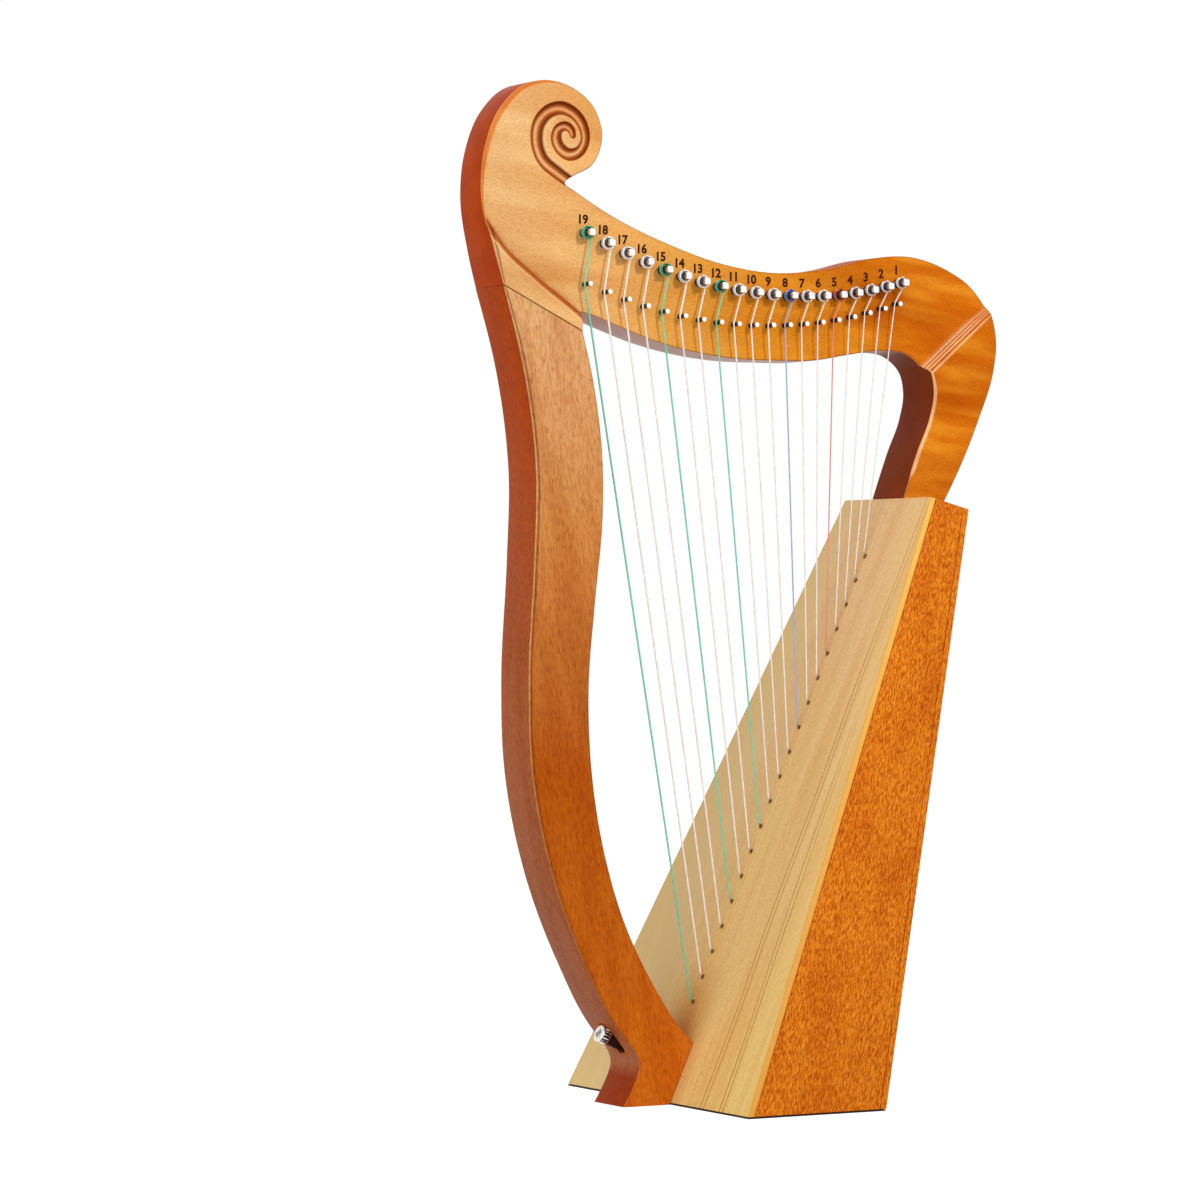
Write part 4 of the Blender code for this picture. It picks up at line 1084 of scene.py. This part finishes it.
def neck_color():
    """Honey at the head, partly a painted sheen, to orange at the shoulder, darker on the edges and in the
    groove, where painted shade is mixed into the stain.
    """
    way, under, stain = own_axis("X"), attribute("under"), attribute("stain")
    flame = blots(NECK_GRAIN, (0.05, 0.009, 0.009), 0.8, 1.0)
    share = times(spread(flame, 0.45, 0.70, 0, 0.75), spread(way, -0.12, 0.02))
    face = tint(share, graded(way, NECK_FACES_AND_SHEEN), WARM_FLAME)
    cloud = times(blots(NECK_GRAIN, (0.09, 0.03, 0.03), 0.45), spread(way, -0.05, 0.12, 0.8, 1.1))
    face = tint(spread(cloud, 0.42, 0.66, 0, 0.6), face, (220, 186, 130), "MULTIPLY")
    # Held stain, then the groove's dark, both partly stain and partly painted shade on the step's slope and
    # the groove's walls.
    face = tint(spread(stain, 0, 0.5), face, HELD_STAIN_AND_SHADE)
    face = tint(spread(stain, 0.5, 1), face, GROOVE_STAIN_AND_SHADE)
    face = tint(attribute("band"), face, BAND_ORANGE)

    # The edge is brown inside the shoulder, and a pale painted reflection of the floor lies where the
    # underside faces down
    edge = tint(times(under, spread(way, 0.095, 0.122)), HEAD_EDGE_STAIN, SHOULDER_BROWN)
    facing = add("ShaderNodeSeparateXYZ", {0: add("ShaderNodeNewGeometry").outputs["Normal"]})
    pale = times(times(under, spread(facing.outputs[2], -0.45, -0.85)), spread(way, 0.125, 0.095))
    edge = tint(pale, edge, UNDERSIDE_FLOOR_REFLECTION)
    return tint(attribute("side"), lined(face), edge)


neck_wood = wood("stained_neck", NECK_GRAIN, neck_color, NECK_PORES, SATIN)
add_piece("neck_sawn", neck_body, neck_wood, "frame", ["neck"])


# Foot bolt and its sleeve
# A nickel-plated cap screw with a knurled head and a hex socket, screwed into the foot block's
# insert. Its head pulls on a black sleeve that stands on the counterbore's floor in the pillar,
# and the sleeve's near-black is partly a painted shadow in the counterbore.

BOLT_HEAD_LENGTH = 0.006
BOLT_SOCKET = 0.0028
BOLT_TIP = 0.004
INSERT_LENGTH = 0.012
SLEEVE_RADIUS = 0.0046
SLEEVE_LENGTH = 0.0144
KNURLS = 16
KNURL_DEPTH = 0.0007
KNURL_GROOVE_SHADE = (16, 13, 13)


def metal(name, base, roughness, worn, painted_shade_share=None, shade_tone=(58, 44, 42)):
    """A plated metal whose gloss is broken by fine scratches and a few duller spots.

    `painted_shade_share` is worked out in its tree: how much of the dark tone is painted on, as shade and a
    dimmer reflection in grooves and along shanks."""
    material, shader = finish_material(name, {"Metallic": 1.0, "Roughness": roughness}, base)
    spots = blots(UP, (0.0012, 0.0012, 0.0012), 0.3)
    color = tint(spread(spots, 0.45, 0.7), base, worn)
    if painted_shade_share:
        color = tint(painted_shade_share(), color, shade_tone)
    scratches = blots(UP, (0.004, 0.0003, 0.0003), 0.6)
    feed(shader, {"Base Color": color, "Roughness": spread(scratches, 0.4, 0.7, roughness, roughness + 0.14)})
    return material


def bolt_ring(length, radius, groove=0.0):
    """A ring of the bolt's head, whose middle two of every four points lie in a groove of the knurl."""
    depths = (0, groove, groove, 0)
    ring = [round_ring(length, radius - depth, KNURLS * 4) for depth in depths]
    return [ring[i % 4][i] for i in range(KNURLS * 4)]


seat = COUNTERBORE_FLOOR + GAP + SLEEVE_LENGTH + GAP
top = seat + BOLT_HEAD_LENGTH
tip = -BOARD_THICKNESS - GAP - INSERT_LENGTH - BOLT_TIP
shank, head = BOLT_RADIUS / MM, BOLT_HEAD_RADIUS / MM
bolt_body = loft([bolt_ring(start + along * MM, radius * MM, groove) for start, along, radius, groove in (
    (tip, 0, shank - 0.6, 0), (tip, 0.6, shank, 0), (seat, -0.3, shank, 0), (seat, 0, shank + 0.3, 0),
    (seat, 0, head - 0.3, 0), (seat, 0.2, head - 0.1, 0), (seat, 0.4, head, KNURL_DEPTH),
    (top, -1.6, head, KNURL_DEPTH), (top, -1.4, head - 0.2, 0), (top, -1, head, 0),
    (top, -0.5, head - 0.1, 0), (top, -0.2, head - 0.4, 0), (top, 0, head - 0.9, 0))])
socket = turned(((top - 3.4 * MM, 0.6 * MM), (top - 2.8 * MM, BOLT_SOCKET), (top - 0.4 * MM, BOLT_SOCKET),
                 (top + 0.4 * MM, BOLT_SOCKET + 0.8 * MM)), 6)
knurl = bolt_body.verts.layers.float.new("knurl")
for vertex in bolt_body.verts:
    sunk = math.hypot(vertex.co.x, vertex.co.y) < BOLT_HEAD_RADIUS - 0.1 * MM
    vertex[knurl] = float(sunk and seat + 0.3 * MM < vertex.co.z < top - 1.2 * MM)
bolt_body = placed(cut(bolt_body, [socket]), bolt_axis)
# The knurl's grooves are painted near-black, a painted shade.
bolt_plate = metal("bolt_plate", (232, 230, 228), 0.16, (196, 190, 184),
                   lambda: attribute("knurl"), KNURL_GROOVE_SHADE)
add_piece("foot_bolt_turned", bolt_body, bolt_plate, "frame", ["foot_bolt"])

bore, wall, edge = BOLT_RADIUS + 0.2 * MM, SLEEVE_RADIUS, 0.3 * MM
start, end = COUNTERBORE_FLOOR + GAP, COUNTERBORE_FLOOR + GAP + SLEEVE_LENGTH
sleeve_body = placed(loft([round_ring(length, radius, 48) for length, radius in (
    (start, bore), (start, wall - edge), (start + edge, wall), (end - edge, wall), (end, wall - edge),
    (end, bore))], closed=True), bolt_axis)
# Its near-black colour is partly a painted shadow in the counterbore.
sleeve_black_and_shadow = wood("sleeve_black_and_shadow", at_y(OFF_BOARD), (58, 22, 12), [
    ((150, 150, 150), 0.001, 0.001, 0.45, 0.65, 0.7, 1.0),
], {"Roughness": 0.45, "IOR": 1.15})
add_piece("foot_sleeve_turned", sleeve_body, sleeve_black_and_shadow, "frame", ["foot_sleeve"])


# Eyelets
# Small bronzed brass rings that are pressed in round the string holes of the soundboard,
# so that the strings don't cut the wood. Each stands half a millimetre proud.

EYELET_MIDDLE = 0.00122
EYELET_ROLL = 0.00038
EYELET_SQUASH = 0.6


def new_tree(name, sizes):
    """A node tree in hand that takes a Geometry, a Material and sizes, whose names come with their kinds."""
    global tree
    tree = bpy.data.node_groups.new(name, "GeometryNodeTree")
    for key, kind in {"Geometry": "Geometry", **sizes, "Material": "Material"}.items():
        tree.interface.new_socket(name=key, in_out="INPUT", socket_type="NodeSocket" + kind)
    tree.interface.new_socket(name="Geometry", in_out="OUTPUT", socket_type="NodeSocketGeometry")
    return tree, add("NodeGroupInput").outputs


def end_tree(geometry, given):
    """Ends the tree in hand with its copies made real and its material set."""
    whole = add("GeometryNodeRealizeInstances", {0: geometry}).outputs[0]
    finished = add("GeometryNodeSetMaterial", {"Geometry": whole, "Material": given["Material"]})
    add("NodeGroupOutput", {0: finished.outputs[0]})


def grown(name, mesh, node_tree, inputs):
    """The plain mesh that a node tree makes from a mesh, with its inputs set by name."""
    item = in_scene(name, mesh)
    modifier = item.modifiers.new("grow", "NODES")
    modifier.node_group = node_tree
    for socket in node_tree.interface.items_tree:
        if socket.name in inputs:
            modifier[socket.identifier] = inputs[socket.name]
    result = made_mesh(item)
    result.name = name
    return result


def points_mesh(name, places, edges=(), swells=()):
    """A mesh of bare points and edges. The points may have a swell, which makes a drawn body thicker."""
    mesh = bpy.data.meshes.new(name)
    mesh.from_pydata([tuple(p) for p in places], list(edges), [])
    if swells:
        mesh.attributes.new("swell", "FLOAT", "POINT").data.foreach_set("value", swells)
    return mesh


rings_tree, given = new_tree("eyelet_rings", {
    "Middle Radius": "Float", "Roll Radius": "Float", "Squash": "Float", "Lean": "Float"})
middle = add("GeometryNodeCurvePrimitiveCircle", {"Resolution": 28, "Radius": given["Middle Radius"]})
roll = add("GeometryNodeCurvePrimitiveCircle", {"Resolution": 12, "Radius": given["Roll Radius"]})
ring = add("GeometryNodeCurveToMesh", {"Curve": middle.outputs[0], "Profile Curve": roll.outputs[0]})
flat = add("ShaderNodeCombineXYZ", {0: 1.0, 1: 1.0, 2: given["Squash"]})
ring = add("GeometryNodeTransform", {"Geometry": ring.outputs[0], "Scale": flat.outputs[0]})
lean = add("ShaderNodeCombineXYZ", {0: 0.0, 1: given["Lean"], 2: 0.0})
rings = add("GeometryNodeInstanceOnPoints", {
    "Points": given["Geometry"], "Instance": ring.outputs[0], "Rotation": lean.outputs[0]})
end_tree(rings.outputs[0], given)

eyelet_out = EYELET_ROLL * EYELET_SQUASH + 0.03 * MM
eyelet_points = points_mesh("eyelet_points", [at_y(on_board(hole_height(i), eyelet_out)) for i in STRINGS])
eyelet_bronze = metal("eyelet_bronze", (150, 100, 30), 0.45, (70, 44, 14))
eyelets = grown("eyelets", eyelet_points, rings_tree, {
    "Middle Radius": EYELET_MIDDLE, "Roll Radius": EYELET_ROLL, "Squash": EYELET_SQUASH,
    "Lean": math.atan2(OFF_BOARD.x, OFF_BOARD.y), "Material": eyelet_bronze})
add_piece("eyelets", eyelets, eyelet_bronze, "frame")


# Bridge pins
# Plain steel pins driven into the neck under the tuning pins. Each string leans on the left
# side of its pin, which sets the length that sounds.

BRIDGE_PIN_LENGTH = 0.0087
BRIDGE_PIN_HEAD = 1.06

path_tree, given = new_tree("drawn_along_a_path", {"Radius": "Float", "Sides": "Int"})
path = add("GeometryNodeMeshToCurve", {"Mesh": given["Geometry"]}).outputs[0]
swell = add("GeometryNodeInputNamedAttribute", {"Name": "swell"}, data_type="FLOAT").outputs[0]
section = add("GeometryNodeCurvePrimitiveCircle", {
    "Resolution": given["Sides"], "Radius": given["Radius"]}).outputs[0]
end_tree(add("GeometryNodeCurveToMesh", {
    "Curve": path, "Profile Curve": section, "Scale": swell, "Fill Caps": True}).outputs[0], given)


def drawn(name, paths, radius, sides, material):
    """Closed bodies with a round section along paths of points, each of which has its swell."""
    places = [place for path in paths for place, _ in path]
    swells = [float(swell) for path in paths for _, swell in path]
    ends = np.cumsum([len(path) for path in paths])
    edges = [(i, i + 1) for i in range(len(places) - 1) if i + 1 not in ends]
    mesh = grown(name, points_mesh(name + "_path", places, edges, swells), path_tree,
                 {"Radius": radius, "Sides": sides, "Material": material})
    body = bmesh.new()
    body.from_mesh(mesh)
    bmesh.ops.recalc_face_normals(body, faces=body.faces[:])
    body.to_mesh(mesh)
    body.free()
    return mesh


def painted_shade_from(start, end):
    """A share of painted shade that grows along Y between two places, towards the neck."""
    return lambda: spread(own_axis("Y"), start, end)


bridge_end = NECK_FACE - BRIDGE_PIN_LENGTH
# The shank towards the neck is painted dark as painted shade and a dimmer reflection, and only the pin's end
# stays bright.
bridge_steel = metal("bridge_steel", (244, 244, 246), 0.30, (220, 218, 216),
                     painted_shade_from(bridge_end + 0.5 * MM, bridge_end + 1.1 * MM))
bridge_shape = [(0.1 * MM - BRIDGE_PIN_ROOT, 1)] + [
    (BRIDGE_PIN_LENGTH - back * MM, swell) for back, swell in (
        (1.6, 1), (1.3, BRIDGE_PIN_HEAD), (0.4, BRIDGE_PIN_HEAD), (0.1, 0.92 * BRIDGE_PIN_HEAD),
        (0, 0.75 * BRIDGE_PIN_HEAD))]
bridge_paths = [[(at_y(place, NECK_FACE - out), swell) for out, swell in bridge_shape]
                for place in bridge_places]
bridge_pins = drawn("bridge_pins", bridge_paths, BRIDGE_PIN_RADIUS, 24, bridge_steel)
add_piece("bridge_pins", bridge_pins, bridge_steel, "frame")


# Tuning pins
# Nickel-plated steel pins with a fine thread in the neck's bores, which a key turns by their
# square heads. Each string is wound a little over twice round its pin.

BASS_STRING = 0.00115
WINDING_STANDOFF = 0.0034
WINDING_TURNS = 2.3
TURN_GAP = 0.0006
PIN_SHANK = WINDING_STANDOFF + (BASS_STRING + TURN_GAP) * WINDING_TURNS + BASS_STRING / 2 + GAP
PIN_HEAD_HALF = 0.0020
PIN_HEAD_CORNER = 0.00246
PIN_HEAD_LENGTH = 0.0030
THREADS = 8
THREAD_DEPTH = 0.09 * MM
PIN_ANGLES = (0, 12, 24, 35.6, 45, 54.4, 66, 78)
PIN_SHANK_SHADE = (92, 90, 98)

pin_end = NECK_FACE - PIN_SHANK
# The shank and the head's inner part are painted dark as painted shade and a dimmer reflection, and only the
# head's end stays bright.
pin_plate = metal("pin_plate", (240, 240, 242), 0.26, (214, 210, 208),
                  painted_shade_from(pin_end - 1.4 * MM, pin_end - 0.4 * MM), PIN_SHANK_SHADE)


def pin_ring(level, radius, square=0.0):
    """A ring of the pin, round or pressed towards a square with cut corners."""
    points = []
    for i in range(32):
        angle = math.radians(PIN_ANGLES[i % 8] + 90 * (i // 8))
        c, s = math.cos(angle), math.sin(angle)
        flat = min(PIN_HEAD_HALF / max(abs(c), abs(s)), PIN_HEAD_CORNER) * radius / PIN_RADIUS
        r = radius + (flat - radius) * square
        points.append((r * c, level, r * s))
    return points


head = -PIN_SHANK - PIN_HEAD_LENGTH
pin_rings = [pin_ring(PIN_DEPTH, 1.8 * MM), pin_ring(PIN_DEPTH - 0.7 * MM, PIN_RADIUS)]
for turn in range(THREADS):
    level = -(0.4 + 0.3 * turn) * MM
    pin_rings += [pin_ring(level, PIN_RADIUS), pin_ring(level - 0.15 * MM, PIN_RADIUS - THREAD_DEPTH)]
pin_rings += [pin_ring(start + along * MM, radius, square) for start, along, radius, square in (
    (-3 * MM, 0, PIN_RADIUS, 0), (-PIN_SHANK, 0.2, PIN_RADIUS, 0), (-PIN_SHANK, -0.2, PIN_RADIUS, 0.6),
    (-PIN_SHANK, -0.5, PIN_RADIUS, 1), (head, 0.4, PIN_RADIUS, 1), (head, 0.12, 2.35 * MM, 0.9),
    (head, 0, 2.1 * MM, 0.6))]
pattern = in_scene("pin_pattern", plain_mesh("pin_pattern", loft(pin_rings)))

pins_tree, given = new_tree("pins_set_in_bores", {"Pattern": "Object"})
shape = add("GeometryNodeObjectInfo", {"Object": given["Pattern"]}).outputs["Geometry"]
end_tree(add("GeometryNodeInstanceOnPoints", {
    "Points": given["Geometry"], "Instance": shape}).outputs[0], given)

for i, place in enumerate(pin_places):
    point = points_mesh("pin_point", [at_y(place, NECK_FACE)])
    name = f"pin_turned_{i + 1:02d}"
    add_piece(name, grown(name, point, pins_tree, {"Pattern": pattern, "Material": pin_plate}), pin_plate,
              f"pin_{i + 1:02d}", [f"tuning_pin_{i + 1:02d}"])
bpy.data.objects.remove(pattern)


# Strings
# Nylon strings, thickest in the bass. Most are clear, and some are dyed as landmarks. Each is
# wound on its pin, leans on its bridge pin and is knotted behind the soundboard's rib.

TREBLE_STRING = 0.00070
BRIDGE_STANDOFF = 0.0048
EYELET_HEIGHT = 0.0005
RIB_THICKNESS = 0.006
KNOT_LENGTH = 0.0032
KNOT_SWELL = 2.3
TURN_POINTS = 24
BEND_POINTS = 8
STRING_SIDES = 12
STRING_TAIL = 0.0018
BOARD_BEND = 0.0016
WOUND_FROM = NECK_FACE - BRIDGE_STANDOFF - 0.0006
DYES = {"clear": ((232, 225, 219), (240, 238, 238)), "green": ((104, 200, 164), (28, 150, 110)),
        "blue": ((152, 166, 206), (60, 104, 200)), "red": ((220, 130, 116), (166, 24, 30))}
DYED = {0: "green", 4: "green", 7: "green", 11: "blue", 14: "red"}


def nylon(name, base, wound):
    """Smooth nylon with faint streaks, deeper in colour where it is wound, and darkened with painted shade
    where it goes into its eyelet.
    """
    material, shader = finish_material(name, {
        "Roughness": 0.28, "Subsurface Weight": 0.15, "Subsurface Scale": 0.0005,
        "Specular IOR Level": 0.4}, base)
    pale = tuple(min(255, part + 14) for part in base)
    color = tint(spread(blots(UP, (0.006, 0.001, 0.001), 0.5), 0.4, 0.6), base, pale)
    color = tint(spread(own_axis("Y"), WOUND_FROM, WOUND_FROM - 0.4 * MM), color, wound)
    # Painted shade on the string's last few millimetres before the board, where it goes into its eyelet.
    off = plus(times(own_axis("X"), OFF_BOARD.x), times(own_axis("Z"), OFF_BOARD.y))
    off = minus(off, FOOT.dot(OFF_BOARD))
    feed(shader, {"Base Color": tint(spread(off, 3 * MM, 1.2 * MM, 0, 0.85), color, (74, 50, 24))})
    return material


def square_to(line, share):
    """The direction to the right of a line that leans along it by a share."""
    along = line.normalized()
    return along * share + Vector((along.y, -along.x)) * math.sqrt(1 - share**2)


def string_radius(number):
    return (BASS_STRING + (TREBLE_STRING - BASS_STRING) * number / STRINGS[-1]) / 2


def string_path(number, radius):
    """A string's path of places and swells: winding, bridge pin, board, knot."""
    pin, bridge = pin_places[number], bridge_places[number]
    coil, bend = PIN_RADIUS + radius + GAP, BRIDGE_PIN_RADIUS + radius + GAP
    entry = on_board(hole_height(number), EYELET_HEIGHT + radius + 2 * GAP)

    # The straights between the bridge pin's left side and the tuning pin's right side, and to the board
    right = square_to(pin - bridge, -(coil + bend) / (pin - bridge).length)
    side = square_to(bridge - entry, bend / (bridge - entry).length)

    start = math.atan2(right.y, right.x)
    path = []
    for i in range(round(WINDING_TURNS * TURN_POINTS), -1, -1):
        angle = start + 2 * math.pi * i / TURN_POINTS
        level = NECK_FACE - WINDING_STANDOFF - (2 * radius + TURN_GAP) * i / TURN_POINTS
        path.append(Vector((pin.x + coil * math.cos(angle), level, pin.y + coil * math.sin(angle))))
    tail = (path[0] - path[1]).normalized() * STRING_TAIL
    path.insert(0, path[0] + tail + Vector((0, -0.3 * MM, 0)))
    for share in (0, 0.25, 0.5, 0.75, 1):
        point = bridge - (right + (side - right) * share).normalized() * bend
        path.append(at_y(point, NECK_FACE - BRIDGE_STANDOFF))

    # The short bend into the board, with the entry as its corner
    corner, after = at_y(entry), at_y(entry - OFF_BOARD * BOARD_BEND)
    before = corner.lerp(path[-1], BOARD_BEND / (path[-1] - corner).length)
    path += [before * (1 - t)**2 + corner * 2 * t * (1 - t) + after * t**2
             for t in np.linspace(0, 1, BEND_POINTS).tolist()]
    path = [(place, 1) for place in path]
    knot = -BOARD_THICKNESS - RIB_THICKNESS - 2 * GAP
    knot_end = knot - KNOT_LENGTH
    for out, swell in ((knot + GAP, 1), (knot - 0.2 * MM, 1.6), (knot - 0.7 * MM, KNOT_SWELL),
                       (knot_end + 0.9 * MM, KNOT_SWELL), (knot_end + 0.3 * MM, 1.5), (knot_end, 0.8)):
        path.append((at_y(on_board(hole_height(number), out)), swell))
    return path


finishes = {dye: nylon(dye + "_string", *tones) for dye, tones in DYES.items()}
for i in STRINGS:
    dye, radius = DYED.get(i, "clear"), string_radius(i)
    name = f"string_drawn_{i + 1:02d}"
    string = drawn(name, [string_path(i, radius)], radius, STRING_SIDES, finishes[dye])
    add_piece(name, string, finishes[dye], "frame", [f"string_{i + 1:02d}"], 60)


# Pin numbers
# Small plain numbers printed in dark brown on the neck over the tuning pins, from 1 for the
# shortest string to 19 for the longest.

NUMBER_HEIGHT = 0.0052
NUMBER_RISE = 0.0080
NUMBER_ASIDE = 0.0008
NUMBER_PROUD = 0.00004
NUMBER_BOLDNESS = 0.00028
NUMBER_THICKNESS = 0.00003
LETTER_SHARE = 0.70
INK = (56, 26, 8)
WORN_INK = (92, 48, 16)

ink, ink_shader = finish_material("printed_ink", {"Roughness": 0.5, "IOR": 1.08}, INK)
wear = spread(blots(UP, (0.0008, 0.0008, 0.0008), 0.4), 0.45, 0.7, 0, 0.6)
feed(ink_shader, {"Base Color": tint(wear, INK, WORN_INK)})
numbers = bmesh.new()
for i, place in enumerate(pin_places):
    letters = bpy.data.curves.new("number", "FONT")
    letters.body = str(len(STRINGS) - i)
    letters.size = NUMBER_HEIGHT / LETTER_SHARE
    letters.offset = NUMBER_BOLDNESS
    letters.extrude = NUMBER_THICKNESS
    letters.align_x = letters.align_y = "CENTER"
    letters.resolution_u = 3
    flat_number = made_mesh(in_scene("number", letters))
    middle = Vector((place.x - NUMBER_ASIDE, 0, place.y + NUMBER_RISE))
    flat_number.transform(Matrix.Translation(middle) @ Matrix.Rotation(math.pi / 2, 4, "X"))
    numbers.from_mesh(flat_number)
spots = np.array([(v.co.x, v.co.z) for v in numbers.verts])
for vertex, depth in zip(numbers.verts, neck_shape(spots)):
    vertex.co.y += FACE_NEAR + depth - NUMBER_PROUD
add_piece("pin_numbers", numbers, ink, "frame")


# Studio
# A white floor that keeps the harp's shadow, a white surround, a small strong lamp from the
# front and a broad weaker one from the left, and a level camera with a long lens.

KEY_PLACE, KEY_SIZE, KEY_POWER = (0.5, -2.2, 1.5), 0.28, 28
FILL_PLACE, FILL_SIZE, FILL_POWER = (-1.8, -1.2, 1.2), 1.6, 17
HARP_MIDDLE = (0, 0, 0.3)
WORLD_LIGHT = 0.55
FLOOR_GLOW = 0.75
FLOOR_GREY = (0.6, 0.6, 0.6, 1)
FLOOR_HALF = 6
FLOOR_LEVEL = -0.0002
CAMERA_PLACE = (-1.43015, -2.42656, 0.29626)
CAMERA_TURN = -29.0
LENS = 139.2
SENSOR = 36
SHIFT = 0.008


def seen_share():
    """1 for what the camera sees straight, in a gloss or through glass, and 0 for light that is cast."""
    path = add("ShaderNodeLightPath").outputs
    seen = plus(plus(path["Is Camera Ray"], path["Is Glossy Ray"]), path["Is Transmission Ray"])
    return maths("MINIMUM", seen, 1.0)


world = bpy.data.worlds.new("white_surround")
bpy.context.scene.world = world
world.use_nodes = True
tree = world.node_tree
tree.nodes.clear()
strength = spread(seen_share(), 0, 1, WORLD_LIGHT, 1.0)
background = add("ShaderNodeBackground", {"Color": (1, 1, 1, 1), "Strength": strength})
add("ShaderNodeOutputWorld", {0: background.outputs[0]})

floor_body = bmesh.new()
bmesh.ops.create_grid(floor_body, x_segments=1, y_segments=1, size=FLOOR_HALF)
floor = in_scene("floor", plain_mesh("floor", floor_body))
floor.location.z = FLOOR_LEVEL
floor_paint = bpy.data.materials.new("floor_paint")
floor_paint.use_nodes = True
tree = floor_paint.node_tree
tree.nodes.clear()
glow = add("ShaderNodeEmission", {0: (1, 1, 1, 1), 1: times(seen_share(), FLOOR_GLOW)})
matt = add("ShaderNodeBsdfDiffuse", {0: FLOOR_GREY})
both = add("ShaderNodeAddShader", {0: matt.outputs[0], 1: glow.outputs[0]})
add("ShaderNodeOutputMaterial", {0: both.outputs[0]})
floor.data.materials.append(floor_paint)


def lamp(name, place, size, power):
    """A soft square lamp that faces the harp's middle."""
    data = bpy.data.lights.new(name, "AREA")
    data.shape = "SQUARE"
    data.size = size
    data.energy = power
    item = in_scene(name, data)
    item.location = place
    item.rotation_euler = (Vector(HARP_MIDDLE) - Vector(place)).to_track_quat("-Z", "Y").to_euler()


lamp("key", KEY_PLACE, KEY_SIZE, KEY_POWER)
lamp("fill", FILL_PLACE, FILL_SIZE, FILL_POWER)

camera_data = bpy.data.cameras.new("camera")
camera_data.lens = LENS
camera_data.sensor_width = SENSOR
camera_data.shift_y = SHIFT
camera = in_scene("camera", camera_data)
camera.location = CAMERA_PLACE
camera.rotation_euler = (math.radians(90), 0, math.radians(CAMERA_TURN))
bpy.context.scene.camera = camera
bpy.context.scene.view_settings.view_transform = "Standard"
